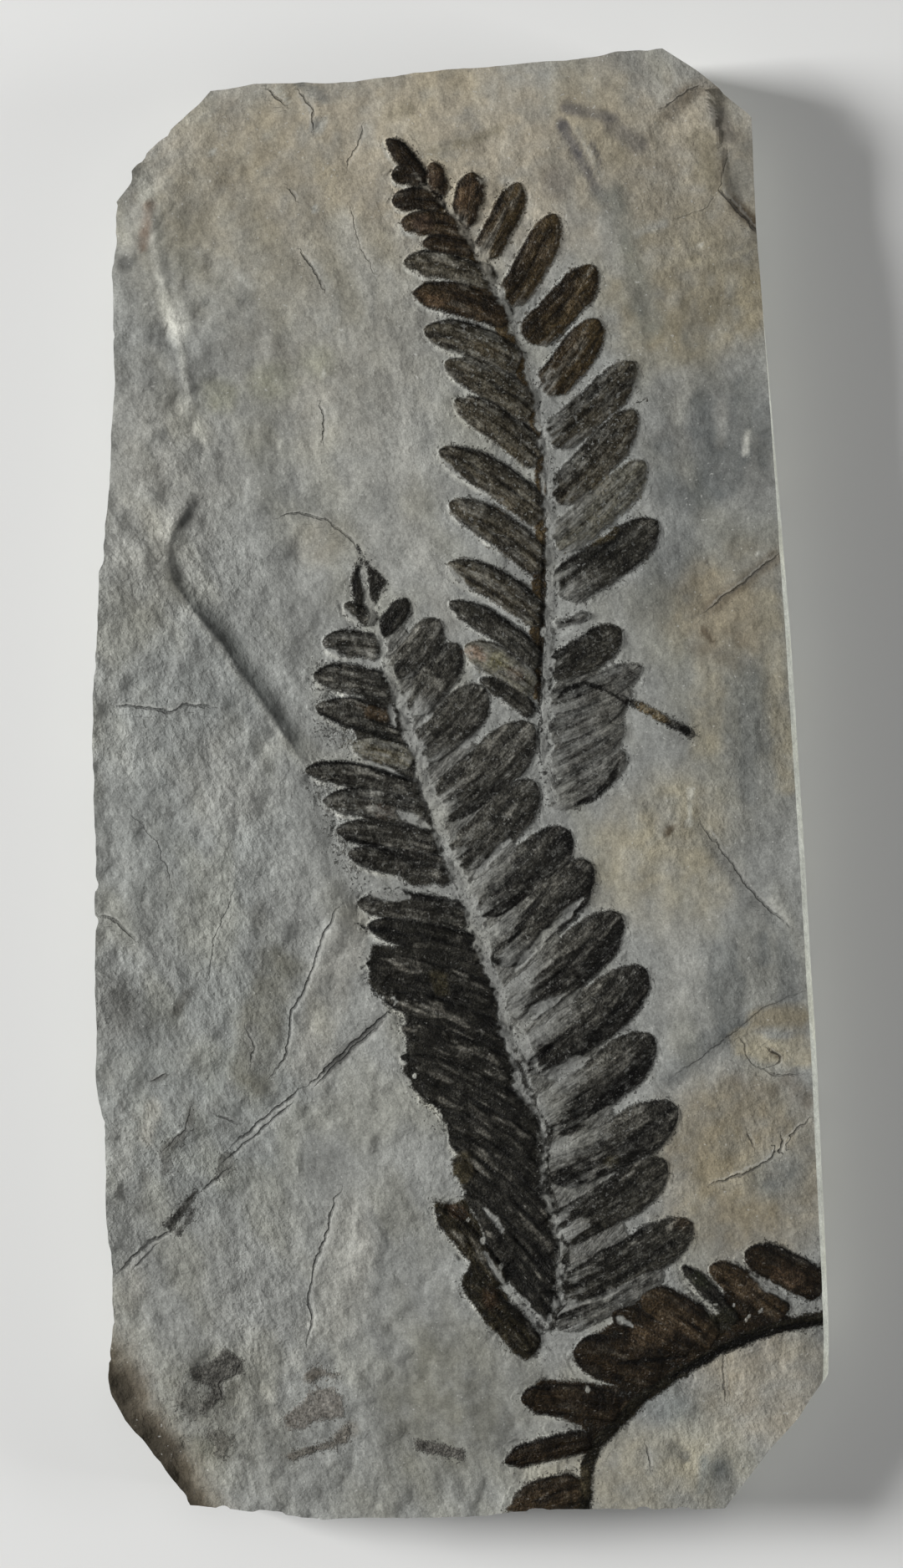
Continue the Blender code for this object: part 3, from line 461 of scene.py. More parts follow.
def bare_rock(x, y):
    """The split face without the fronds, at places x, y: its height, its colours and its marks."""
    rock = {"x": x, "y": y}
    height = FACE_LEVEL + face_height(x, y)

    # The face is flakiest on the left below its top, and a little flaky on the right
    flaky = 0.46 + 0.5 * soft(-12.0, -28.0, x) * soft(50.0, 15.0, y)
    flaky += 0.16 * soft(17.0, 24.0, x) * soft(40.0, 20.0, y)
    flaky *= 0.85 + 0.4 * mottle(x, y, 9.0, 25)
    height += 0.13 * mottle(x, y, 7.0, 1) + 0.18 * flaky * mottle(x, y, 3.2, 2, 1.3, GRAIN_LEAN)
    height += flaky * (0.11 * mottle(x, y, 1.5, 3, 1.2, -64) + 0.05 * mottle(x, y, 0.9, 19))

    # Shallow steps where one layer of the bedding gives way to the next
    field = mottle(x, y, 11.0, 12, 1.5, -58) + 0.5 * mottle(x, y, 3.4, 13) + 0.22 * mottle(x, y, 1.3, 14)
    ledges = 0.45 + 0.55 * soft(4.0, -20.0, x + 0.25 * y)
    for level, rise in ((-0.62, 0.14), (-0.36, 0.09), (-0.12, 0.10),
                        (0.12, 0.08), (0.36, 0.11), (0.66, 0.12)):
        height += STEP_RELIEF * ledges * rise * (soft(level - 0.04, level + 0.04, field) - 0.5)

    # Stains and smears, with the painted light and shade among them, with borders that wander and wash
    # out in places
    bent_x = x + 2.2 * mottle(x, y, 8.0, 4) + 0.7 * mottle(x, y, 2.2, 5)
    bent_y = y + 2.2 * mottle(x, y, 8.0, 6) + 0.7 * mottle(x, y, 2.2, 7)
    tint = np.ones((len(x), 3))
    uneven = np.clip(1.0 + 0.32 * mottle(x, y, 2.2, 21) + 0.28 * mottle(x, y, 0.95, 22), 0.2, 1.3)

    def colour_in(weight, colour):
        tint[:] += np.clip(weight, 0.0, 1.0)[:, None] * (np.array(colour) - tint)

    for middle_x, middle_y, half_x, half_y, lean, colour, strength in STAINS_AND_PAINTED_LIGHT:
        small = min(half_x, half_y) < 4
        from_x, from_y = (x, y) if small else (bent_x, bent_y)
        spread = oval(from_x, from_y, middle_x, middle_y, half_x, half_y, lean)
        colour_in(strength * uneven * soft(1.25, 0.35, spread), colour)
    for points, width, edge, colour, strength in SMEARS_AND_PAINTED_LIGHT:
        offset, _ = near_line(x, y, points)
        ragged = np.abs(offset) + (0.14 * width + 0.05) * mottle(x, y, 1.5, 8)
        ragged += 0.12 * mottle(x, y, 0.55, 17)
        colour_in(strength * uneven * soft(width / 2 + edge, width / 2 - edge * 0.6, ragged), colour)
    for middle_x, middle_y, radius in PALE_GRAINS:
        colour_in(soft(radius * 1.2, radius * 0.4, np.hypot(x - middle_x, y - middle_y)), CHALK_AND_HIGHLIGHT)

    # Uneven tone, in blotches from a millimetre to a centimetre wide
    patchy = 0.06 * mottle(x, y, 12.0, 15) + 0.07 * mottle(x, y, 5.0, 9)
    patchy += 0.06 * mottle(x, y, 2.1, 10, 1.4, GRAIN_LEAN)
    patchy += 0.05 * mottle(x, y, 1.0, 16, 1.3, GRAIN_LEAN)
    tint *= (1.0 + patchy)[:, None]

    # The worn corner is darkened with painted shade: brown as a painted warm reflection, and nearly black
    # at its edge
    corner = from_worn_corner(x, y) + 0.9 * mottle(x, y, 3.0, 11) + 0.4 * mottle(x, y, 0.9, 18)
    colour_in(soft(5.6, 1.0, corner) * 0.9, UMBER)
    colour_in(soft(3.2, 0.4, corner) * 0.9, BURNT)

    # Each crack's mark: the distance from its line, its darkness and its half width
    for key, table in (("crack", CRACKS), ("side_crack", SIDE_CRACKS)):
        mark = np.zeros((len(x), 3))
        for points, width, darkness, rise in table:
            offset, part = near_line(x, y, points, 3.0)
            fade = soft(0.0, 0.12, part) * soft(1.0, 0.85, part)
            strength = darkness * soft(1.1, 0.6, np.abs(offset)) * (0.35 + 0.65 * fade)
            stronger = strength > mark[:, 1]
            mark[stronger] = np.stack([offset, strength, np.full(len(x), 0.62 * width)], axis=1)[stronger]
            if rise:
                high_side = offset * math.copysign(1.0, rise)
                height += (STEP_RELIEF * abs(rise) * soft(-0.2, 0.2, high_side)
                           * soft(2.8, 0.0, high_side) * fade)
        mark[mark[:, 1] <= 0, 0] = NO_CRACK[0]
        rock[key] = mark

    # The leaf dent falls steeply at its lower left wall and climbs back gently; a dark band of painted
    # shadow lies below the wall
    offset, part = near_line(x, y, LEAF_DENT)
    ends = soft(0.0, 0.05, part) * soft(1.0, 0.9, part)
    height -= 0.30 * soft(-0.2, 0.35, offset) * soft(4.2, 0.9, offset) * ends
    height += 0.05 * soft(-1.3, -0.3, offset) * soft(0.1, -0.2, offset) * ends
    core = np.interp(part, (0.0, 0.1, 0.3, 0.6, 1.0), (0.6, 0.55, 0.9, 1.4, 1.3))
    depth = np.interp(part, (0.0, 0.08, 0.16, 0.3, 0.45, 1.0), (0.5, 0.7, 0.35, 0.75, 1.0, 0.9))
    shadow_band, strength = np.clip(offset / core, -3, 6), depth * ends * soft(6.0, 4.5, np.abs(offset))
    rock["dent"] = np.stack([shadow_band, strength, np.zeros(len(x))], axis=1)
    # A thin painted highlight along the top of the steep wall
    colour_in(0.3 * ends * soft(-0.9, -0.3, offset) * soft(0.1, -0.1, offset), CHALK_AND_HIGHLIGHT)

    # The stem dent is shallow, and so is the ridge beside the left side
    offset, part = near_line(x, y, STEM_DENT)
    ends = soft(0.0, 0.1, part) * soft(1.0, 0.7, part)
    height -= 0.07 * soft(1.0, 0.4, np.abs(offset)) * ends

    offset, part = near_line(x, y, HIGH_RIDGE)
    height += 0.2 * soft(0.9, 0.0, np.abs(offset)) * soft(0.0, 0.1, part) * soft(1.0, 0.8, part)

    # The film's marks: how far inside its edge a place is, and its colour with how thin it is
    rock["rock_height"] = height
    rock["flaky"] = flaky
    rock["relief"] = np.zeros(len(x))
    rock["tint"] = tint
    rock["film_edge"] = np.full(len(x), FAR_OUTSIDE)
    rock["film_tint"] = np.tile(NO_FILM, (len(x), 1))
    for outline, colour, thin in SCRAPS:
        inside = inside_outline(x, y, outline) + 0.2 * mottle(x, y, 0.9, 23) + 0.05
        close = inside > np.maximum(rock["film_edge"], -1.0)
        rock["film_edge"][close] = np.minimum(inside, 0.5)[close]
        rock["film_tint"][close] = (*colour, thin)
    rock["leaf"] = np.zeros((len(x), 3))
    rock["sunk"] = np.zeros(len(x))
    return rock


def write_marks(piece, ground, extra=None):
    """Moves a mesh's face to the ground's height and writes its colours and marks on it.

    Extra holds the same marks for the vertices that follow the face's own, such as the slab's sides.
    """
    mesh = piece.data
    count = len(ground["x"])
    places = np.empty(len(mesh.vertices) * 3)
    mesh.vertices.foreach_get("co", places)
    places = places.reshape(-1, 3)
    places[:count, 2] = (ground["rock_height"] + ground["relief"] - ground["sunk"]) * MM
    mesh.vertices.foreach_set("co", places.ravel())
    stone = np.column_stack([ground["tint"] * PLAIN_GREY, ground["flaky"]])
    layers = {
        "stone_tint": ("FLOAT_COLOR", "color", stone),
        "film_tint": ("FLOAT_COLOR", "color", ground["film_tint"]),
        "film_edge": ("FLOAT", "value", ground["film_edge"]),
        "leaf": ("FLOAT_VECTOR", "vector", ground["leaf"]),
        "crack": ("FLOAT_VECTOR", "vector", ground["crack"]),
        "side_crack": ("FLOAT_VECTOR", "vector", ground["side_crack"]),
        "dent": ("FLOAT_VECTOR", "vector", ground["dent"]),
    }
    for name, (kind, field, values) in layers.items():
        layer = mesh.attributes.get(name) or mesh.attributes.new(name, kind, "POINT")
        if extra is not None:
            values = np.concatenate([values, extra[name]])
        layer.data.foreach_set(field, np.ascontiguousarray(values, dtype=np.float32).ravel())
    mesh.update()


PORE_GREY = (0.07, 0.07, 0.065, 1.0)
GRAIN_GREY = (0.5, 0.5, 0.47, 1.0)
LIP_GREY = (0.42, 0.42, 0.39, 1.0)
CRACK_BLACK = (0.04, 0.04, 0.038, 1.0)
DENT_SHADOW_BLACK = (0.044, 0.047, 0.044, 1.0)
DUST_GREY = (0.10, 0.098, 0.09, 1.0)
GLINT_GREY = (0.24, 0.235, 0.215, 1.0)
BUFF_CAST = (1.06, 1.02, 0.88, 1.0)
BROWN_CAST = (0.88, 0.85, 0.77, 1.0)


def shale_and_film():
    """The finish of the whole plate: fine grey shale, and the coal film wherever a frond lies."""
    material = bpy.data.materials.new("shale_and_film")
    material.use_nodes = True
    tree = material.node_tree
    shader = tree.nodes["Principled BSDF"]

    def add(kind, **settings):
        made = tree.nodes.new(kind)
        for name, value in settings.items():
            setattr(made, name, value)
        return made

    def plug(socket, value):
        if isinstance(value, bpy.types.NodeSocket):
            tree.links.new(value, socket)
        else:
            socket.default_value = value

    def maths(operation, first, second=0.0):
        made = add("ShaderNodeMath", operation=operation)
        plug(made.inputs[0], first)
        plug(made.inputs[1], second)
        return made.outputs[0]

    def plus(first, second):
        return maths("ADD", first, second)

    def times(first, second):
        return maths("MULTIPLY", first, second)

    def scaled(vector, factors):
        made = add("ShaderNodeVectorMath", operation="MULTIPLY")
        plug(made.inputs[0], vector)
        plug(made.inputs[1], factors)
        return made.outputs[0]

    def stretch(value, low, high, to_low=0.0, to_high=1.0):
        made = add("ShaderNodeMapRange", interpolation_type="SMOOTHSTEP")
        for name, entry in (("Value", value), ("From Min", low), ("From Max", high),
                            ("To Min", to_low), ("To Max", to_high)):
            plug(made.inputs[name], entry)
        return made.outputs[0]

    def blend(amount, first, second, mode="MIX"):
        made = add("ShaderNodeMix", data_type="RGBA", blend_type=mode)
        plug(made.inputs["Factor"], amount)
        plug(made.inputs["A"], first)
        plug(made.inputs["B"], second)
        return made.outputs["Result"]

    def speckle(place, size, detail=2.0, rough=0.55):
        made = add("ShaderNodeTexNoise")
        plug(made.inputs["Vector"], place)
        plug(made.inputs["Scale"], 1.0 / size)
        plug(made.inputs["Detail"], detail)
        plug(made.inputs["Roughness"], rough)
        return made.outputs["Fac"]

    def mark(name):
        return add("ShaderNodeAttribute", attribute_name=name)

    def parts(name):
        split = add("ShaderNodeSeparateXYZ")
        tree.links.new(mark(name).outputs["Vector"], split.inputs[0])
        return split.outputs

    def shaded(colour, pattern, low, high, dark, light):
        """A colour made darker and lighter by a pattern, whose values lie mostly from low to high."""
        factor = stretch(pattern, low, high, dark, light)
        grey = add("ShaderNodeCombineColor")
        for socket in grey.inputs:
            plug(socket, factor)
        return blend(1.0, colour, grey.outputs[0], "MULTIPLY")

    # Places in millimetres, and the same drawn out along the lean of the shale's grain
    place = scaled(add("ShaderNodeTexCoord").outputs["Object"], (1.0 / MM,) * 3)
    turn = add("ShaderNodeVectorRotate", rotation_type="Z_AXIS")
    plug(turn.inputs["Vector"], place)
    plug(turn.inputs["Angle"], math.radians(-26.0))
    grained = scaled(turn.outputs[0], (1.0, 0.6, 1.0))

    # Shale: leaning mottles, grit, dark pores and pale grains over the tint of each place
    stone_mark = mark("stone_tint")
    stone, flaky = stone_mark.outputs["Color"], stone_mark.outputs["Alpha"]
    fleck = speckle(place, 0.7, 3.0, 0.62)
    grit = speckle(place, 0.2, 2.0, 0.6)
    patch = speckle(grained, 3.2, 3.0, 0.6)
    stone = shaded(stone, fleck, 0.3, 0.7, 0.88, 1.13)
    stone = shaded(stone, grit, 0.3, 0.7, 0.87, 1.14)
    stone = shaded(stone, patch, 0.32, 0.68, 0.88, 1.12)
    hue = speckle(grained, 5.5, 1.0)
    buff = blend(1.0, stone, BUFF_CAST, "MULTIPLY")
    stone = blend(stretch(hue, 0.45, 0.7, 0.0, 0.35), stone, buff)
    pores = stretch(speckle(grained, 0.6, 1.0), 0.70, 0.80)
    stone = blend(times(pores, 0.3), stone, PORE_GREY)
    grains = stretch(speckle(place, 0.34, 0.0), 0.79, 0.84)
    stone = blend(times(grains, 0.4), stone, GRAIN_GREY)

    # Cracks: a thin dark line with a lit lip on its left
    wander = stretch(speckle(place, 1.3, 3.0), 0.0, 1.0, -0.34, 0.34)
    crack_depth = 0.0
    for name in ("crack", "side_crack"):
        offset, strength, width = parts(name)
        offset = plus(offset, wander)
        distance = maths("ABSOLUTE", offset)
        line = times(stretch(distance, width, times(width, 0.25)), strength)
        from_lip = maths("ABSOLUTE", maths("SUBTRACT", offset, times(width, 1.7)))
        lip = times(strength, stretch(from_lip, width, 0.0))
        stone = blend(times(lip, 0.35), stone, LIP_GREY)
        stone = blend(times(line, 0.7), stone, CRACK_BLACK)
        crack_depth = plus(line, crack_depth)

    # The dent's painted shadow: a dark band, sharp at the steep wall, fading up the gentle side
    offset, strength = parts("dent")[:2]
    offset = plus(offset, times(wander, 0.4))
    shadow_band = times(stretch(offset, -0.16, 0.2), stretch(offset, 2.3, 0.5))
    shadow_band = times(times(shadow_band, strength), stretch(fleck, 0.25, 0.6, 0.75, 1.0))
    stone = blend(times(shadow_band, 0.85), stone, DENT_SHADOW_BLACK)

    # Coal film: streaks that run along each leaflet, blotches, crazing, and places worn thin
    leaf = mark("leaf").outputs["Vector"]
    streaks = speckle(scaled(leaf, (0.4, 2.1, 1.0)), 1.0, 2.0, 0.6)
    veins = speckle(scaled(leaf, (1.2, 5.0, 1.0)), 1.0, 2.0, 0.5)
    crumbs = speckle(place, 0.25, 2.0, 0.65)
    blotches = speckle(place, 1.1, 2.0, 0.6)
    film = mark("film_tint")
    coal = shaded(film.outputs["Color"], streaks, 0.3, 0.7, 0.72, 1.32)
    coal = shaded(coal, veins, 0.3, 0.7, 0.93, 1.1)
    coal = shaded(coal, crumbs, 0.32, 0.72, 0.55, 1.65)
    coal = shaded(coal, blotches, 0.3, 0.7, 0.6, 1.45)
    coal = blend(1.0, coal, BROWN_CAST, "MULTIPLY")
    # Painted glints: small highlights painted into the film's colour
    glints = stretch(speckle(scaled(leaf, (1.3, 3.6, 1.0)), 1.0, 1.0), 0.63, 0.70)
    glints = times(times(glints, stretch(crumbs, 0.45, 0.6)), stretch(blotches, 0.42, 0.6))
    coal = blend(times(glints, 0.5), coal, GLINT_GREY)

    # The film is worn through in flakes, its edge is torn, and crumbs of it lie just outside
    worn = plus(times(streaks, 0.4), plus(times(crumbs, 0.25), times(blotches, 0.35)))
    worn = stretch(plus(worn, times(film.outputs["Alpha"], 0.7)), 0.55, 1.1)
    torn = plus(mark("film_edge").outputs["Fac"], stretch(crumbs, 0.0, 1.0, -0.22, 0.22))
    torn = plus(torn, stretch(blotches, 0.0, 1.0, -0.2, 0.2))
    flakes = stretch(speckle(place, 0.42, 1.0), 0.61, 0.69)
    flakes = times(flakes, stretch(film.outputs["Alpha"], 0.02, 0.25))
    worn = maths("MAXIMUM", worn, times(flakes, 0.6))
    covered = times(stretch(torn, -0.16, 0.24), maths("SUBTRACT", 1.0, worn))
    strewn = plus(speckle(place, 0.36, 1.0), stretch(torn, -0.5, -0.1, 0.0, 0.075))
    strewn = times(stretch(strewn, 0.65, 0.72), stretch(torn, -0.9, -0.2))
    covered = maths("MAXIMUM", covered, times(strewn, stretch(torn, -0.05, 0.2, 0.65, 0.3)))
    dusty = blend(0.3, stone, DUST_GREY)
    under = blend(stretch(torn, -0.05, 0.15), stone, dusty)
    surface = blend(covered, under, coal)

    # Dull stone, a little more gloss on the film, and the fine relief of both
    plug(shader.inputs["Base Color"], surface)
    plug(shader.inputs["Specular IOR Level"], 0.085)
    gloss = stretch(blotches, 0.35, 0.65, 0.25, 0.48)
    plug(shader.inputs["Roughness"], maths("SUBTRACT", 0.88, times(covered, gloss)))
    dimples = speckle(grained, 1.5, 2.0, 0.6)
    height = plus(times(fleck, 0.9), times(grit, 0.3))
    height = times(flaky, plus(height, times(dimples, 1.8)))
    height = maths("SUBTRACT", height, times(crack_depth, 0.9))
    height = plus(height, times(covered, plus(times(veins, 0.4), times(crumbs, 0.8))))
    bump = add("ShaderNodeBump")
    plug(bump.inputs["Strength"], 0.9)
    plug(bump.inputs["Distance"], 0.32 * MM)
    plug(bump.inputs["Height"], height)
    tree.links.new(bump.outputs[0], shader.inputs["Normal"])
    return material


PLATE_FINISH = shale_and_film()


def add_mesh(name, places, faces):
    """A smooth mesh object in the plate's finish; places are in millimetres."""
    mesh = bpy.data.meshes.new(name)
    mesh.from_pydata((np.asarray(places) * MM).tolist(), [], faces)
    mesh.shade_smooth()
    mesh.materials.append(PLATE_FINISH)
    piece = bpy.data.objects.new(name, mesh)
    bpy.context.scene.collection.objects.link(piece)
    return piece


HALF_LENGTH = 80.14  # no point of the slab is farther up or down than this
SLAB_COLUMNS = 184
SLAB_ROWS = 368
SIDE_RINGS = 16  # the rows of points down the sides, the face's own border not counted
BACK_STEP = 4  # the back's cells are this many times as wide as the face's
RIM_DROP = 0.12  # how far the face's rim is worn down
RIM_WEAR = 0.10  # how far it is worn in, where it is broken
SAW_LEAN = 0.95  # how far the sawn side's foot stands out at the most
BED_THICKNESS = 0.85  # the height of the layers that show in the broken sides
BROKEN_TINT = (0.86, 0.87, 0.84)
# The sawn side is paler than the face, partly as fresh-cut stone and partly as painted light
SAWN_PALE_AND_LIT_TINT = (2.75, 2.78, 2.66)
BACK_TINT = (0.92, 0.92, 0.90)
BACK_HOLLOW = 0.12  # how far the back is off the plane that its border lies in


def side_points(points, count, axis):
    """A side of the face as evenly spaced points, by x for axis 0 and by y for axis 1."""
    points = np.array(points)
    spots = np.linspace(points[0, axis], points[-1, axis], count + 1)
    other = np.interp(spots, points[:, axis], points[:, 1 - axis])
    return np.stack([spots, other] if axis == 0 else [other, spots], axis=1)


def chipped(edge, broken, layer):
    """A side with the small bites and bulges that breaking leaves, none where it is sawn."""
    way = np.gradient(edge, axis=0)
    station = np.cumsum(np.hypot(*way.T))
    normal = np.stack([way[:, 1], -way[:, 0]], axis=1) / np.hypot(*way.T)[:, None]
    zero = np.zeros(len(station))
    rough = 0.12 * mottle(station, zero, 3.2, layer) + 0.07 * mottle(station, zero, 1.1, layer + 1)
    bites = 0.3 * soft(0.55, 0.9, mottle(station, zero, 2.0, layer + 2))
    ends = soft(0, 2.0, station) * soft(station[-1], station[-1] - 2.0, station)
    moved = normal * ((rough - 0.12) * np.where(broken, 1.0, 0.12) * ends)[:, None]
    return edge + moved - normal * (bites * broken * ends)[:, None]


left_edge = chipped(side_points(LEFT_SIDE, SLAB_ROWS, 1)[::-1], np.ones(SLAB_ROWS + 1), 20)[::-1]
right_edge = chipped(side_points(RIGHT_SIDE, SLAB_ROWS, 1), np.zeros(SLAB_ROWS + 1), 24)
bottom_edge = chipped(side_points(BOTTOM_SIDE, SLAB_COLUMNS, 0), np.ones(SLAB_COLUMNS + 1), 28)
top_edge = chipped(side_points(TOP_SIDE, SLAB_COLUMNS, 0)[::-1], np.ones(SLAB_COLUMNS + 1), 32)[::-1]


def fill_in(step):
    """A grid of points that fills the outline, taking every step-th point of its sides."""
    left, right = left_edge[::step], right_edge[::step]
    bottom, top = bottom_edge[::step], top_edge[::step]
    u = np.linspace(0, 1, len(bottom))[None, :, None]
    v = np.linspace(0, 1, len(left))[:, None, None]
    straight = (1 - u) * (1 - v) * left[0] + u * (1 - v) * right[0]
    straight = straight + (1 - u) * v * left[-1] + u * v * right[-1]
    return ((1 - v) * bottom[None] + v * top[None]
            + (1 - u) * left[:, None] + u * right[:, None] - straight)


def grid_faces(rows, columns, first=0, flip=False):
    """Four-sided faces of a grid of rows x columns cells whose vertices start at first."""
    row, column = np.meshgrid(np.arange(rows), np.arange(columns), indexing="ij")
    corner = (first + row * (columns + 1) + column).ravel()
    order = [corner, corner + 1, corner + columns + 2, corner + columns + 1]
    return np.stack(order[::-1] if flip else order, axis=1).tolist()


def rim(rows, columns, first=0):
    """The vertices round a grid's border, anticlockwise from its lower left corner."""
    wide = columns + 1
    south = [first + i for i in range(columns)]
    east = [first + wide * i + columns for i in range(rows)]
    north = [first + wide * rows + columns - i for i in range(columns)]
    west = [first + wide * (rows - i) for i in range(rows)]
    return south + east + north + west


def build_slab():
    """The slab's mesh, the ground of its face, and the marks of its sides and back."""
    face = fill_in(1).reshape(-1, 2)
    ground = bare_rock(face[:, 0], face[:, 1])
    outline = rim(SLAB_ROWS, SLAB_COLUMNS)
    edge = face[outline]
    count = len(outline)
    zero = np.zeros(count)
    way = np.roll(edge, -1, axis=0) - np.roll(edge, 1, axis=0)
    outward = np.stack([way[:, 1], -way[:, 0]], axis=1)
    outward /= np.hypot(*outward.T)[:, None]
    station = np.cumsum(np.hypot(*(edge - np.roll(edge, 1, axis=0)).T))

    # Only the right side is sawn, and it leans out at its foot
    on_right = np.zeros(count)
    on_right[SLAB_COLUMNS:SLAB_COLUMNS + SLAB_ROWS] = 1.0
    sawn = soft(0.2, 0.8, np.convolve(np.tile(on_right, 3), np.ones(9) / 9, "same")[count:2 * count])
    lean = SAW_LEAN * soft(72.0, 8.0, edge[:, 1]) * np.abs(outward[:, 0]) ** 6

    # The sides, ring by ring from the worn rim of the face down to the back
    edge_height = ground["rock_height"][outline]
    rings, ring_tints = [], []
    levels = np.linspace(0.0, 1.0, SIDE_RINGS) ** 1.05
    for ring, level in enumerate(levels):
        depth = level * edge_height
        bed = np.floor(depth / BED_THICKNESS + 0.8 * mottle(station, zero, 14.0, 40))
        ledge = np.abs(mottle(station, bed * 9.7, 5.0, 41)) * 0.6
        ledge += 0.25 * np.abs(mottle(station, bed * 5.1, 1.3, 42))
        broken = -0.9 * (0.1 + 0.8 * ledge) * soft(0.0, 0.06, level) - (RIM_WEAR if ring == 0 else 0.0)
        saw_marks = 0.015 * mottle(station, zero, 0.9, 43)
        out = sawn * (lean * (1 - (1 - level) ** 7) + saw_marks) + (1 - sawn) * broken
        low = edge_height * (1 - level) - (RIM_DROP if ring == 0 else 0.0)
        rings.append(np.column_stack([edge + outward * out[:, None], np.maximum(low, 0.0)]))
        layered = 0.93 + 0.14 * mottle(station, bed * 3.3, 9.0, 44)
        layered += 0.08 * mottle(station, depth, 0.5, 45, 6.0)
        broken_tint = np.array(BROKEN_TINT) * layered[:, None]
        sawn_pale_and_lit_tint = np.array(SAWN_PALE_AND_LIT_TINT) * (0.97 + 0.5 * (layered - 0.93))[:, None]
        ring_tints.append(sawn[:, None] * sawn_pale_and_lit_tint + (1 - sawn)[:, None] * broken_tint)

    faces = grid_faces(SLAB_ROWS, SLAB_COLUMNS)
    first_ring, above = len(face), outline
    for ring in range(SIDE_RINGS - 1):
        below = [first_ring + ring * count + i for i in range(count)]
        faces += [(above[i - 1], below[i - 1], below[i], above[i]) for i in range(count)]
        above = below

    # The back: a coarser grid, whose border takes the place of the lowest ring
    back = fill_in(BACK_STEP)
    rows, columns = back.shape[0] - 1, back.shape[1] - 1
    back = back.reshape(-1, 2)
    first_back = first_ring + (SIDE_RINGS - 1) * count
    back_outline = rim(rows, columns)
    back_place = np.column_stack([back, BACK_HOLLOW + 0.1 * mottle(*back.T, 6.0, 46)])
    back_place[back_outline] = rings[-1][::BACK_STEP]
    back_place[back_outline, 2] = 0.0
    back_rim = [first_back + i for i in back_outline]
    for j in range(len(back_rim)):
        stretch_above = [above[(j * BACK_STEP + i) % count] for i in range(BACK_STEP, -1, -1)]
        faces.append([back_rim[j], back_rim[(j + 1) % len(back_rim)], *stretch_above])
    faces += grid_faces(rows, columns, first_back, flip=True)

    places = np.concatenate([np.column_stack([face, np.zeros(len(face))]), *rings[:-1], back_place])
    places[:, 1] = np.clip(places[:, 1], -HALF_LENGTH, HALF_LENGTH)
    slab = add_mesh("shale_slab", places, faces)
    more = np.concatenate([*ring_tints[:-1], np.tile(BACK_TINT, (len(back), 1))])
    total = len(more)
    extra = {
        "stone_tint": np.column_stack([more * PLAIN_GREY, np.full(total, 0.5)]),
        "film_tint": np.tile(NO_FILM, (total, 1)),
        "film_edge": np.full(total, FAR_OUTSIDE),
        "leaf": np.zeros((total, 3)),
        "crack": np.tile(NO_CRACK, (total, 1)),
        "side_crack": np.tile(NO_CRACK, (total, 1)),
        "dent": np.tile(NO_DENT, (total, 1)),
    }
    write_marks(slab, ground, extra)
    slab.data.set_sharp_from_angle(angle=math.radians(38))
    return slab, ground, extra


slab, slab_ground, side_marks = build_slab()
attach(slab, "root")
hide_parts("fossil_slab")


# ---------------------------------------------------------------------------------------------------
# The lower frond
# The largest frond: a thin coal film bonded to the shale, whose leaflets still stand a little proud.
# Those on its left have run together in a black mass; the stem's film has flaked to a pale ridge.
# ---------------------------------------------------------------------------------------------------

# Coal colours: colour of the half towards the frond's tip, colour of the other half, and how thin. The
# two halves differ as the lit and the shaded side of a leaflet's vault, in painted light and painted
# shade
FILM_TONES_AND_PAINTED_SHADE = {
    "black": ((0.0085, 0.0082, 0.007), (0.0165, 0.016, 0.0138), 0.03),
    "dark": ((0.012, 0.0115, 0.0095), (0.028, 0.027, 0.023), 0.12),
    "peppered": ((0.0074, 0.0071, 0.0060), (0.030, 0.029, 0.0255), 0.14),
    "two_tone": ((0.013, 0.0125, 0.0105), (0.048, 0.046, 0.040), 0.24),
    "pleated": ((0.0062, 0.006, 0.005), (0.0165, 0.016, 0.014), 0.04),
    "lit": ((0.058, 0.057, 0.052), (0.0090, 0.0085, 0.0074), 0.12),
    "grey": ((0.050, 0.049, 0.044), (0.028, 0.0272, 0.024), 0.15),
    "gap": ((0.034, 0.033, 0.029), (0.050, 0.048, 0.043), 0.4),
    "brown": ((0.0155, 0.0108, 0.0058), (0.031, 0.0215, 0.012), 0.05),
    "dark_brown": ((0.0082, 0.0059, 0.0033), (0.0140, 0.0096, 0.0052), 0.0),
    "olive_black": ((0.0076, 0.0066, 0.0038), (0.0180, 0.0152, 0.0088), 0.03),
    "warm_dark": ((0.0235, 0.0163, 0.0078), (0.043, 0.0305, 0.0140), 0.08),
    "olive_dark": ((0.0125, 0.0108, 0.0068), (0.044, 0.038, 0.026), 0.2),
    "olive": ((0.034, 0.031, 0.021), (0.085, 0.078, 0.052), 0.35),
    "faint": ((0.026, 0.0255, 0.023), (0.052, 0.0505, 0.046), 0.34),
}
FILM_RELIEF = 0.4  # how high the middle of a leaflet stands
# The pleats' pale crests: partly film worn thin and partly a painted highlight
PLEAT_WEAR_AND_HIGHLIGHT_GREY = (0.18, 0.175, 0.16)
WORN_THROUGH = 1.2  # how thin the film is where none is left
BED_MARGIN = 1.6  # how much stone round the film each frond's mesh takes in
SLAB_OUTLINE = (*BOTTOM_SIDE, *RIGHT_SIDE[1:], *TOP_SIDE[-2::-1], *LEFT_SIDE[-2:0:-1])

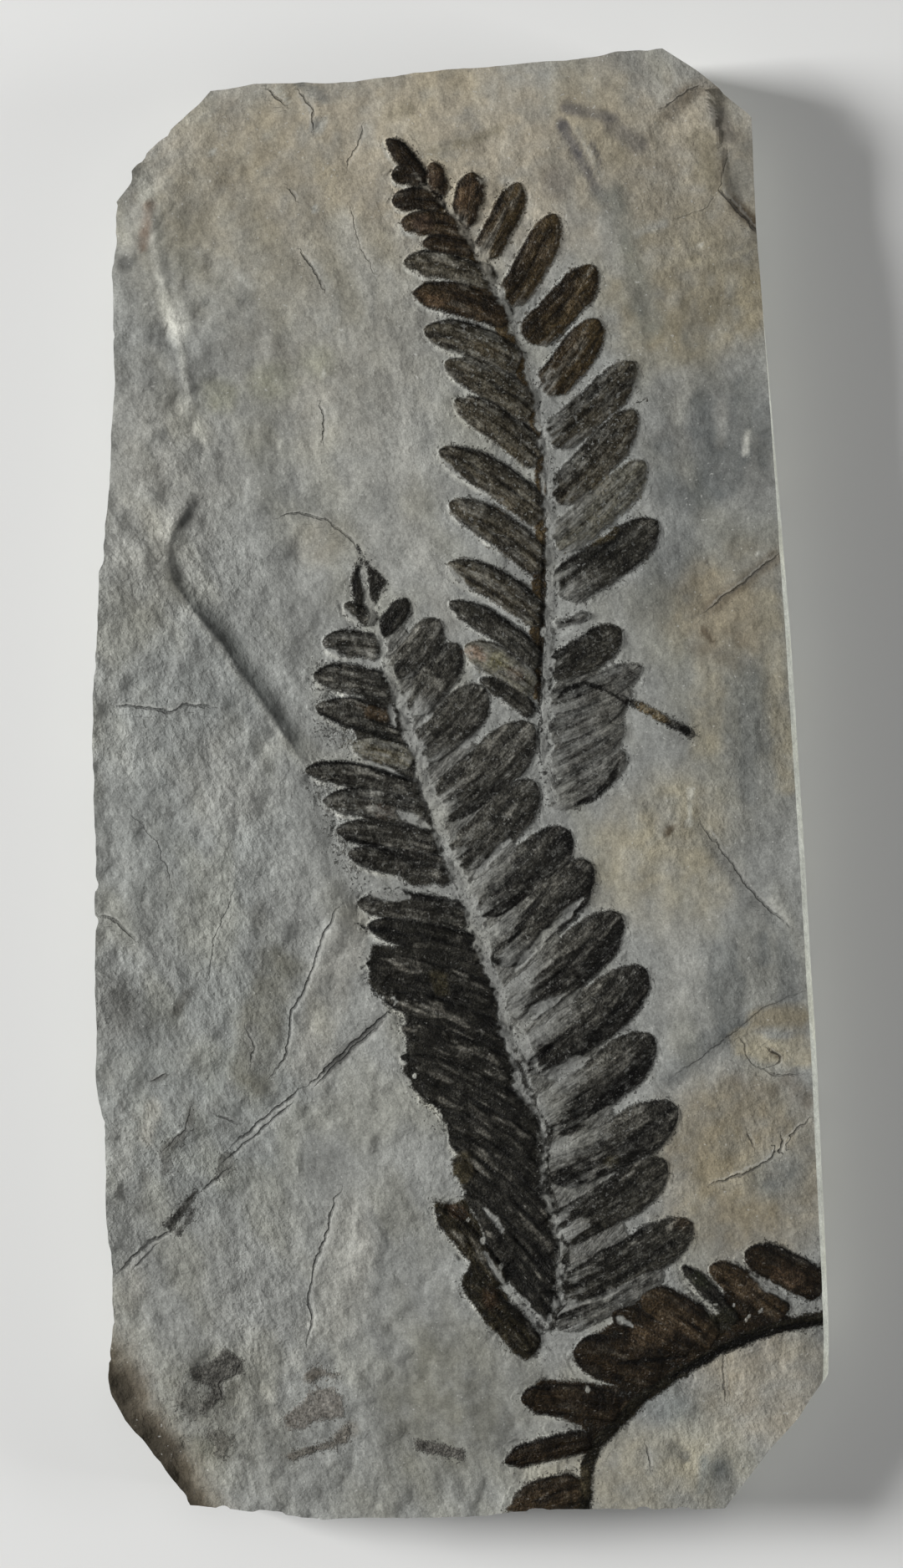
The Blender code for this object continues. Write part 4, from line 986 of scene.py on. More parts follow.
LOWER_FROND = {
    # Film that fills in between leaflets: an outline, anticlockwise, its streaks' lean and its finish
    "webs": (
        (((-10.6, 24.4), (-10.3, 21.6), (-9.9, 18.8), (-9.3, 20.0), (-8.2, 22.1), (-9.4, 23.3)),
         60, "black"),
        (((-11.5, 24.4), (-12.2, 22.0), (-11.9, 19.6), (-11.2, 17.4), (-10.1, 17.4), (-10.6, 20.4),
          (-11.1, 23.4)), 75, "black"),
        (((1.9, -17.6), (-5.0, -17.4), (-9.8, -17.6), (-10.2, -19.2), (-10.3, -20.5), (-10.2, -21.6),
          (-9.4, -23.0), (-7.8, -24.0), (-6.4, -24.8), (-6.2, -27.0), (-6.2, -29.6), (-6.4, -31.4),
          (-5.3, -33.4), (-4.1, -34.6), (-2.5, -35.5), (-1.9, -36.9), (-1.2, -38.9), (0.0, -39.8),
          (-1.2, -41.0), (-0.9, -42.5), (0.0, -43.9), (0.6, -45.2), (1.8, -47.5), (2.6, -50.0),
          (3.6, -52.5), (5.5, -54.8), (6.8, -56.5), (9.2, -58.7), (10.3, -56.0), (10.4, -50.0),
          (8.8, -44.0), (9.0, -40.0), (8.0, -35.7), (6.2, -33.0), (5.0, -27.8), (4.0, -22.5)),
         -34, "black"),
        (((0.4, -45.2), (-1.2, -45.8), (-3.2, -45.2), (-2.9, -46.8), (-2.7, -48.3), (-1.2, -49.4),
          (0.0, -50.0), (0.6, -51.0), (0.6, -52.5), (0.0, -53.5), (-0.3, -54.5), (0.2, -55.5),
          (1.5, -57.0), (2.4, -58.5), (4.0, -60.0), (5.0, -61.3), (6.3, -62.5), (7.0, -62.7),
          (8.0, -62.4), (8.5, -61.5), (8.2, -60.0), (7.2, -58.6), (5.5, -56.6), (4.4, -55.0),
          (3.4, -52.5), (2.6, -50.0), (1.8, -47.5)), -52, "olive_black"),
        (((-7.2, 9.6), (-10.5, 9.9), (-12.5, 7.0), (-11.0, 3.5), (-11.5, 0.5), (-11.5, -2.5),
          (-10.0, -6.0), (-8.0, -9.0), (-5.4, -11.2), (-0.8, -10.4), (-2.4, -5.2), (-4.2, 0.0),
          (-5.8, 5.2)), -12, "dark"),
    ),
    # Leaflets: base, tip, width and finish
    "left": (
        (-9.9, 17.9, -12.9, 19.6, 2.0, "dark"), (-9.0, 14.8, -15.2, 15.5, 3.1, "two_tone"),
        (-7.9, 10.4, -16.2, 11.9, 3.3, "peppered"), (-6.4, 6.2, -15.9, 8.4, 3.4, "peppered"),
        (-5.4, 2.6, -12.0, 4.4, 3.2, "olive"), (-4.8, -0.7, -17.1, 1.6, 3.0, "peppered"),
        (-4.0, -3.0, -15.2, -1.8, 3.6, "two_tone"), (-2.8, -6.6, -13.8, -5.0, 3.4, "peppered"),
        (-1.2, -9.6, -12.5, -7.6, 3.4, "peppered"), (0.4, -14.6, -11.6, -12.9, 3.4, "peppered"),
        (2.0, -18.4, -10.4, -15.4, 3.6, "pleated"), (3.4, -23.4, -10.5, -19.4, 3.8, "pleated"),
        (4.6, -27.8, -8.6, -23.0, 3.6, "pleated"), (5.2, -31.4, -6.6, -26.4, 3.4, "pleated"),
        (6.4, -35.6, -6.6, -29.6, 3.4, "pleated"), (7.6, -39.8, -5.4, -32.6, 3.4, "pleated"),
        (8.6, -43.4, -2.8, -35.2, 3.2, "pleated"), (9.2, -47.2, -1.4, -38.4, 3.2, "pleated"),
        (9.8, -50.8, -0.6, -41.6, 3.2, "pleated"), (10.2, -54.4, 0.2, -44.6, 3.2, "pleated"),
        (9.9, -57.8, 2.4, -48.4, 3.0, "pleated"), (4.2, -54.4, -2.9, -46.0, 3.0, "olive_black"),
        (7.9, -61.4, 0.5, -54.2, 3.0, "olive_black"),
    ),
    "right": (
        (-8.7, 16.4, -6.0, 20.2, 2.5, "black"), (-7.4, 12.0, -2.5, 17.8, 3.9, "grey"),
        (-5.9, 8.0, -0.4, 15.2, 4.2, "grey"), (-4.9, 3.4, 2.5, 10.4, 5.2, "grey"),
        (-3.2, -3.0, 7.8, 6.4, 6.0, "grey"), (-0.8, -8.4, 8.0, 0.2, 5.4, "grey"),
        (1.2, -13.4, 11.8, -5.2, 5.6, "lit"), (3.0, -18.8, 14.0, -8.6, 5.8, "lit"),
        (5.0, -24.6, 17.3, -14.2, 5.8, "lit"), (6.8, -30.4, 20.1, -20.2, 6.0, "lit"),
        (8.6, -36.4, 20.9, -27.6, 5.8, "lit"), (9.6, -42.4, 23.4, -35.2, 5.7, "lit"),
        (10.2, -48.8, 22.3, -41.2, 5.2, "dark"), (10.6, -55.2, 25.1, -47.8, 5.2, "dark"),
        (10.4, -58.6, 21.8, -53.0, 3.4, "faint"),
    ),
    # How pointed, arched and broad-footed the leaflets of each side are
    "left_form": (0.4, 0.03, 1.0),
    "right_form": (0.18, -0.03, 0.95),
    "side_webs": {"right": (0.55, 50, "gap")},
    "pleats": 0.65,
    "pale_feet": 0.45,
    "rim_highlights": 1.0,
    # Where crumbs of film lie strewn past the leaflets' tips
    "strewn": (
        ((-17.2, 2.0), (-16.8, -2.0), (-15.2, -6.0), (-13.6, -9.8), (-12.2, -12.2), (-8.6, -12.6),
         (-10.0, -8.0), (-11.0, -4.0), (-12.4, 0.6)),
        ((-16.6, 14.6), (-17.0, 10.0), (-16.4, 5.4), (-12.0, 2.6), (-9.0, 3.0), (-11.0, 8.0),
         (-12.0, 13.0)),
        ((-11.6, -17.6), (-11.4, -21.0), (-8.0, -25.4), (-6.6, -30.6), (-5.0, -35.0), (-1.6, -40.0),
         (0.6, -42.0), (-1.0, -36.0), (-4.0, -30.0), (-5.6, -24.0), (-8.6, -20.0)),
    ),
    "stem": (
        (-11.2, 25.0), (-10.9, 24.0), (-10.3, 20.4), (-9.55, 17.7), (-8.7, 14.9), (-7.9, 12.2),
        (-7.5, 10.4), (-6.3, 7.7), (-5.7, 4.9), (-4.8, 3.7), (-4.2, 0.0), (-3.0, -2.0), (-2.4, -5.0),
        (-1.5, -8.0), (0.6, -12.5), (2.2, -17.5), (2.8, -19.5), (4.0, -22.5), (5.0, -27.8),
        (6.2, -33.0), (8.2, -35.7), (9.0, -37.5), (9.0, -40.7), (8.6, -44.0), (10.1, -47.2),
        (10.7, -49.8), (10.6, -56.0), (9.3, -58.5),
    ),
    # The stem's film and its pale ridge, evenly spaced from tip to base: their widths, how far the
    # ridge's film is worn, and how high the stem stands
    "stem_film": (0.3, 0.8, 1.2, 1.6, 2.4, 2.4),
    "stem_ridge": (0.4, 0.7, 1.05, 1.1, 0.6, 0.35, 0.4),
    "stem_worn": (0.95, 1.1, 1.1, 1.1, 0.85, 0.6, 0.8),
    "stem_rise": (0.05, 0.09, 0.10, 0.08, 0.04),
    "stem_finish": "dark",
    "stem_thin": 0.2,
    # Lines where the film is gone, and lines where it is thick: points and width
    "pale_lines": (
        (((-12.9, 19.0), (-11.3, 17.0)), 0.5), (((-15.1, 14.7), (-12.6, 13.3)), 0.5),
        (((-16.6, 11.2), (-15.2, 10.0)), 0.5), (((-15.0, 3.1), (-10.0, 2.2), (-6.6, 0.8)), 0.5),
        (((-7.0, -3.0), (-3.5, -4.8)), 0.6), (((-12.0, -10.5), (-8.9, -11.8), (-5.8, -12.3)), 1.1),
        (((-5.0, 6.1), (-3.3, 7.5)), 0.3), (((0.0, 4.0), (3.0, 6.3)), 0.5),
        (((5.1, -6.1), (1.3, -10.0)), 0.5), (((5.8, -20.2), (9.0, -16.6), (13.0, -12.5)), 0.6),
        (((5.1, -27.3), (8.0, -24.7), (11.0, -22.9)), 0.9),
        (((5.8, -26.0), (6.8, -28.4), (8.2, -31.0)), 0.9), (((9.4, -32.0), (13.6, -29.8)), 1.2),
        (((9.6, -40.0), (12.0, -38.4)), 1.0),
        (((5.0, -55.0), (6.7, -56.4), (8.1, -58.0), (9.1, -59.0)), 0.35),
        (((-7.8, 8.6), (-7.4, 6.2)), 0.25), (((2.4, -46.2), (3.6, -47.4), (4.4, -48.8)), 0.15),
        (((2.4, -50.8), (3.6, -53.0), (4.9, -55.0)), 0.3),
    ),
    "dark_lines": (
        (((-15.8, 7.9), (-12.8, 6.3), (-10.0, 5.6), (-6.9, 4.5)), 0.4),
        (((-9.9, 7.0), (-6.7, 5.8)), 0.35),
        (((-15.3, 2.6), (-11.9, 2.3), (-8.7, 1.5), (-5.8, 0.4)), 0.35),
        (((-13.8, -6.3), (-11.9, -6.1), (-9.4, -6.7), (-7.6, -7.6), (-3.7, -8.7)), 0.5),
        (((-11.9, -15.1), (-10.0, -15.9), (-8.0, -16.0), (-5.8, -16.7)), 0.5),
        (((5.0, -17.3), (6.7, -15.0), (8.8, -11.9), (9.7, -10.8)), 0.7),
        (((7.5, -21.7), (10.6, -19.2), (12.2, -18.2)), 0.5), (((10.1, -28.0), (12.4, -26.4)), 0.5),
        (((7.2, -30.5), (10.0, -28.2)), 0.7), (((10.6, -38.1), (13.3, -37.2)), 0.5),
        (((-10.2, -21.6), (-9.4, -23.0), (-7.8, -24.0), (-6.9, -24.5)), 0.3),
        (((10.3, -58.2), (14.0, -56.5)), 0.4),
        (((-11.5, 26.2), (-10.9, 24.4), (-11.5, 22.6), (-12.0, 20.8)), 0.32),
    ),
    # Raised pale crumbs, which also serve as painted glints: place and radius
    "lumps_and_glints": (
        (-7.3, -23.6, 0.45), (-5.2, -31.8, 0.3), (0.8, -14.5, 0.45), (9.0, -37.5, 0.45),
        (10.8, -52.6, 0.45), (-8.6, -23.2, 0.3), (-7.2, -26.6, 0.35), (-6.9, -28.2, 0.3),
        (-6.3, -30.2, 0.35), (-5.8, -32.4, 0.3), (-4.4, -34.2, 0.35), (-2.4, -36.0, 0.3),
        (-1.8, -38.0, 0.3), (-2.6, -46.4, 0.35), (0.6, -47.4, 0.3), (2.2, -49.6, 0.3), (4.2, -52.4, 0.3),
    ),
    # Browned patches of film: centre, half sizes, lean, colour and strength
    "patches": (
        (-9.5, 7.8, 1.8, 0.8, -20, (0.060, 0.042, 0.025), 0.8),
        (-9.0, 3.3, 2.6, 1.0, -15, (0.085, 0.072, 0.042), 0.6),
        (-8.7, -3.0, 1.2, 0.9, 0, (0.030, 0.020, 0.013), 0.8),
        (-2.5, -21.5, 1.0, 1.6, 20, (0.032, 0.028, 0.016), 0.7),
        (0.1, -42.0, 1.4, 2.0, 0, (0.045, 0.038, 0.022), 0.7),
        (3.2, -56.0, 1.0, 1.4, 30, (0.034, 0.020, 0.011), 0.6),
        (-0.6, -46.6, 1.4, 0.8, -20, (0.030, 0.017, 0.010), 0.6),
        (24.0, -47.6, 1.3, 1.2, 0, (0.034, 0.024, 0.014), 0.6),
        (16.2, -41.0, 0.9, 0.7, 0, (0.05, 0.045, 0.028), 0.6),
    ),
}


def leaflets_of(frond):
    """Each leaflet of a frond: its row, which hand it is on, and its side's form."""
    for side, hand in (("left", -1.0), ("right", 1.0)):
        for row in frond.get(side, ()):
            yield row, hand, frond[side + "_form"]


def webs_of(frond):
    """The film between leaflets: its outline, its streaks' lean and its finish."""
    for side, (share, lean, finish) in frond.get("side_webs", {}).items():
        bases = [row[:2] for row in frond[side]]
        middles = [(base_x + share * (tip_x - base_x), base_y + share * (tip_y - base_y))
                   for base_x, base_y, tip_x, tip_y, _, _ in frond[side]]
        yield bases + middles[::-1], lean, finish
    yield from frond.get("webs", ())


def taper(part, values):
    """A width that goes through these values, evenly spaced from the first end to the last."""
    return np.interp(part, np.linspace(0.0, 1.0, len(values)), values)


def frond_reach(x, y, frond):
    """How far inside the frond's film each place is; less than nothing outside it."""
    reach = np.full(len(x), FAR_OUTSIDE)
    for (*leaflet, _), hand, form in leaflets_of(frond):
        reach = np.maximum(reach, leaf_shape(x, y, *leaflet, hand, *form)[0])
    for outline, _, _ in webs_of(frond):
        reach = np.maximum(reach, inside_outline(x, y, outline))
    offset, part = near_line(x, y, frond["stem"])
    return np.maximum(reach, taper(part, frond["stem_film"]) / 2 - np.abs(offset))


def press(ground, frond):
    """Lays a frond on a ground: its film's edge and colours, and how far it stands out."""
    x, y = ground["x"], ground["y"]
    edge, tint, leaf, relief = ground["film_edge"], ground["film_tint"], ground["leaf"], ground["relief"]
    wavy = 0.12 * mottle(x, y, 1.3, 50) + 0.04 * mottle(x, y, 0.5, 51)

    def finish_between(lower, upper, share, thin):
        colour = np.empty((len(x), 4))
        colour[:, :3] = np.array(lower) * (1 - share) + np.array(upper) * share
        colour[:, 3] = thin
        return colour

    def lay(chosen, inside, colour):
        edge[chosen] = inside[chosen]
        tint[chosen] = colour[chosen]

    # The film between leaflets, in low folds
    for outline, lean, finish in webs_of(frond):
        inside = np.minimum(inside_outline(x, y, outline) + wavy, 0.3)
        upper, lower, thin = FILM_TONES_AND_PAINTED_SHADE[finish]
        folds = mottle(x, y, 0.9, 56, 4.0, lean)
        colour = finish_between(lower, upper, soft(-0.7, 0.7, folds)[:, None], thin)
        on_top = inside > edge
        lay(on_top, inside, colour)
        leaf[on_top] = np.stack([*turned(x, y, lean), np.zeros(len(x))], axis=1)[on_top]
        np.maximum(relief, soft(-0.1, 0.3, inside) * (0.05 + 0.10 * (0.5 + 0.5 * folds)), out=relief)

    # The leaflets: lit and shaded halves in painted light and shade, painted shade along the midrib, the
    # upper edge and the pleats' troughs, pleats with pale crests that are partly worn film and partly
    # painted highlight, and a painted highlight on the stone along the lower rim
    for number, ((*row, finish), hand, form) in enumerate(leaflets_of(frond)):
        inside, along, across, half = leaf_shape(x, y, *row, hand, *form)
        inside = inside + wavy
        upper, lower, thin = FILM_TONES_AND_PAINTED_SHADE[finish]
        width, length = row[4], math.hypot(row[2] - row[0], row[3] - row[1])
        part = np.clip(along / length, 0, 1)
        share = soft(-0.28, 0.3, across / width + 0.12 * hand - 0.12 + 0.1 * mottle(x, y, 1.3, 52))
        if hand > 0:
            share = share * (1.0 - 0.8 * soft(0.62, 0.95, part))
        colour = finish_between(lower, upper, share[:, None], thin)
        upper_edge_shade = np.exp(-((half - across - 0.22) / 0.16) ** 2) * (0.7 if hand < 0 else 0.25)
        midrib_shade = np.exp(-((across + 0.05) / 0.15) ** 2) * soft(0.0, 0.1, part)
        midrib_shade = midrib_shade * soft(0.8, 0.45, part) * 0.6
        shaded = np.maximum(upper_edge_shade, midrib_shade)
        colour[:, :3] *= (1.0 - shaded)[:, None]
        colour[:, 3] *= 1.0 - 0.8 * shaded
        if finish == "lit":
            colour[:, 3] += 0.5 * soft(-0.1, 0.4, across / width) * soft(0.7, 0.15, part)
        on_top = inside > edge
        lay(on_top, inside, colour)
        leaf[on_top] = np.stack([along, across, np.full(len(x), 7.3 * number)], axis=1)[on_top]
        pleats = mottle(along, across - 0.1 * along, 0.8 if hand > 0 else 0.5, 60 + number, 6.0)
        pleats += 0.6 * mottle(along, across, 0.34, 30 + number, 3.5)
        crest = frond["pleats"] * soft(0.4, 1.05, pleats) * soft(0.1, 0.5, inside)
        crest = crest * min(1.0, 0.28 + lower[0] / 0.06)
        # Painted shade in the pleats' troughs and along a line just inside the edge
        trough_shade = soft(-0.1, -0.8, pleats) + 0.5 * np.exp(-((inside - 0.3) / 0.3) ** 2)
        foot = frond.get("pale_feet", 0.0) * (hand > 0) * soft(0.4, 0.0, part) * soft(-0.3, 0.6, pleats)
        tint[on_top, 3] += (0.3 * crest + foot)[on_top]
        tint[on_top, :3] *= (1.0 - 0.6 * np.clip(trough_shade, 0, 1))[on_top, None]
        tint[on_top, :3] += crest[on_top, None] * (np.array(PLEAT_WEAR_AND_HIGHLIGHT_GREY) - tint[on_top, :3])
        # A painted highlight on the stone along the lower rim of each left-hand leaflet
        lit_rim = np.exp(-((inside + 0.2) / 0.24) ** 2) * soft(0.25, 0.6, part)
        lit_rim *= soft(0.1, -0.5, across / width)
        lit_rim *= frond["rim_highlights"] * (0.6 + 0.6 * mottle(x, y, 1.2, 57)) * (hand < 0)
        ground["tint"] += np.clip(lit_rim, 0, 1)[:, None] * (np.array(CHALK_AND_HIGHLIGHT) - ground["tint"])
        vault = 1.0 - (1.0 - np.clip(inside / (width / 2), 0, 1)) ** 2
        furrow = 0.35 * np.exp(-(across / 0.22) ** 2) * soft(0.95, 0.4, part)
        rise = FILM_RELIEF * (0.25 * soft(-0.1, 0.08, inside) + 0.75 * vault * (1.0 - furrow))
        rise += 0.13 * frond["pleats"] * pleats * soft(0.0, 0.4, inside)
        relief[on_top] = np.maximum(relief, rise)[on_top]

    # Just outside its edge the film lies in crumbs: the nearer to the edge's value, the more of them
    for outline in frond.get("strewn", ()):
        inside = inside_outline(x, y, outline) + 0.6 * mottle(x, y, 1.6, 27)
        np.maximum(edge, -0.62 + 0.56 * soft(-0.6, 1.6, inside), out=edge, where=inside > -0.6)

    # The stem: a dark film with a pale ridge along it
    offset, part = near_line(x, y, frond["stem"])
    film = taper(part, frond["stem_film"]) / 2 - np.abs(offset) + wavy
    ridge = taper(part, frond["stem_ridge"]) / 2 - np.abs(offset) + 0.25 * mottle(x, y, 1.3, 53)
    ridge += (0.28 + 0.2 * part) * mottle(x, y, 0.42, 59)
    colour = np.tile((*FILM_TONES_AND_PAINTED_SHADE[frond["stem_finish"]][0], frond["stem_thin"]), (len(x), 1))
    lay(film > edge, film, colour)
    ridge = soft(-0.4, 0.3, ridge) * taper(part, frond["stem_worn"]) * (0.9 + 0.4 * mottle(x, y, 0.6, 58))
    tint[:, 3] += np.clip(ridge, 0.0, 1.0) * (WORN_THROUGH - tint[:, 3])
    np.maximum(relief, taper(part, frond["stem_rise"]) * soft(0.9, 0.2, np.abs(offset)), out=relief)

    # Lines worn or pressed into the film, patches of another colour, and lumps of pale stone that also
    # serve as painted glints
    for points, width in frond.get("pale_lines", ()):
        offset, part = near_line(x, y, points, 2.0)
        line = width / 2 * soft(-0.02, 0.25, part) * soft(1.02, 0.75, part) - np.abs(offset)
        line += wavy
        line += 0.15 * mottle(x, y, 0.45, 24)
        tint[:, 3] += soft(-0.35, 0.25, line) * (1.25 - tint[:, 3])
        relief -= 0.05 * soft(-0.3, 0.2, line)
    for points, width in frond.get("dark_lines", ()):
        offset, part = near_line(x, y, points, 2.0)
        line = width / 2 * soft(-0.05, 0.2, part) * soft(1.05, 0.7, part) - np.abs(offset) + 0.5 * wavy
        tint[:] *= (1.0 - 0.75 * soft(-0.22, 0.05, line))[:, None]
        np.maximum(edge, line, out=edge, where=line > -0.1)
        relief -= 0.06 * soft(-0.2, 0.1, line)
    for middle_x, middle_y, half_x, half_y, lean, patch, strength in frond.get("patches", ()):
        spread = oval(x, y, middle_x, middle_y, half_x, half_y, lean) + 0.3 * mottle(x, y, 0.7, 54)
        weight = (strength * soft(1.2, 0.5, spread))[:, None]
        tint[:, :3] += weight * (np.array(patch) - tint[:, :3])
    for middle_x, middle_y, radius in frond.get("lumps_and_glints", ()):
        away = np.hypot(x - middle_x, (y - middle_y) * 0.8) + 0.35 * mottle(x, y, 0.45, 55)
        bare = soft(radius, radius * 0.2, away)
        tint[:, 3] += 0.9 * bare * (1.0 - tint[:, 3])
        ground["tint"] += (0.15 * bare)[:, None] * (np.array(CHALK_AND_HIGHLIGHT) - ground["tint"])
        relief += 0.06 * soft(radius * 1.2, 0.0, away)


BORDER_DIVE = 0.25  # how far a bed's border goes down under the slab's face
SLAB_SUNK = 0.35  # how far the slab's face is lowered under a bed's film
beds = [(slab, slab_ground, side_marks)]
laid_fronds = []


def lay_frond(name, frond, cell, lift):
    """Makes a frond's piece: a fine mesh of its film and of the stone close round it.

    Every bed made before is pressed too, so that all show the same where they meet, and the slab's
    coarser face is lowered under the film. Cell is the mesh's step, and lift is how far it is raised,
    so that the later of two beds that overlap is the one that shows.
    """
    laid_fronds.append(frond)
    ends = [end for row, _, _ in leaflets_of(frond) for end in (row[:2], row[2:4])]
    spots = np.array([*ends, *frond["stem"]])
    low, high = spots.min(axis=0) - 4.0, spots.max(axis=0) + 4.0
    across, up = np.arange(low[0], high[0], cell), np.arange(low[1], high[1], cell)
    x, y = (axis.ravel() for axis in np.meshgrid(across, up))
    keep = (frond_reach(x, y, frond) > -BED_MARGIN) & (inside_outline(x, y, SLAB_OUTLINE) > 0.35)
    number = np.where(keep, np.cumsum(keep) - 1, -1)
    faces = number[np.array(grid_faces(len(up) - 1, len(across) - 1))]
    faces = faces[(faces >= 0).all(axis=1)]
    used = np.unique(faces)
    renumber = np.full(int(keep.sum()), -1)
    renumber[used] = np.arange(len(used))
    x, y = x[keep][used], y[keep][used]

    ground = bare_rock(x, y)
    for pressed in laid_fronds:
        press(ground, pressed)
    reach = frond_reach(x, y, frond)
    dive = np.maximum(soft(-1.0, -1.5, reach), soft(0.75, 0.4, inside_outline(x, y, SLAB_OUTLINE)))
    ground["sunk"] = BORDER_DIVE * dive - lift
    piece = add_mesh(name, np.column_stack([x, y, np.zeros(len(x))]), renumber[faces].tolist())
    write_marks(piece, ground)

    for other, bed, extra in beds:
        press(bed, frond)
        if other is slab:
            covered = soft(-0.7, 0.3, frond_reach(bed["x"], bed["y"], frond))
            covered *= soft(0.9, 1.6, inside_outline(bed["x"], bed["y"], SLAB_OUTLINE))
            bed["sunk"] = np.maximum(bed["sunk"], SLAB_SUNK * covered)
        write_marks(other, bed, extra)
    beds.append((piece, ground, None))
    return piece


lower_frond = lay_frond("lower_frond", LOWER_FROND, 0.15, 0.004)
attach(lower_frond, "root")


# ---------------------------------------------------------------------------------------------------
# The upper frond
# A narrower frond of the same coal film, browned towards its tip. Its stem's film is split along a
# pale ridge, and the leaflets at its lower end are faint or lost.
# ---------------------------------------------------------------------------------------------------

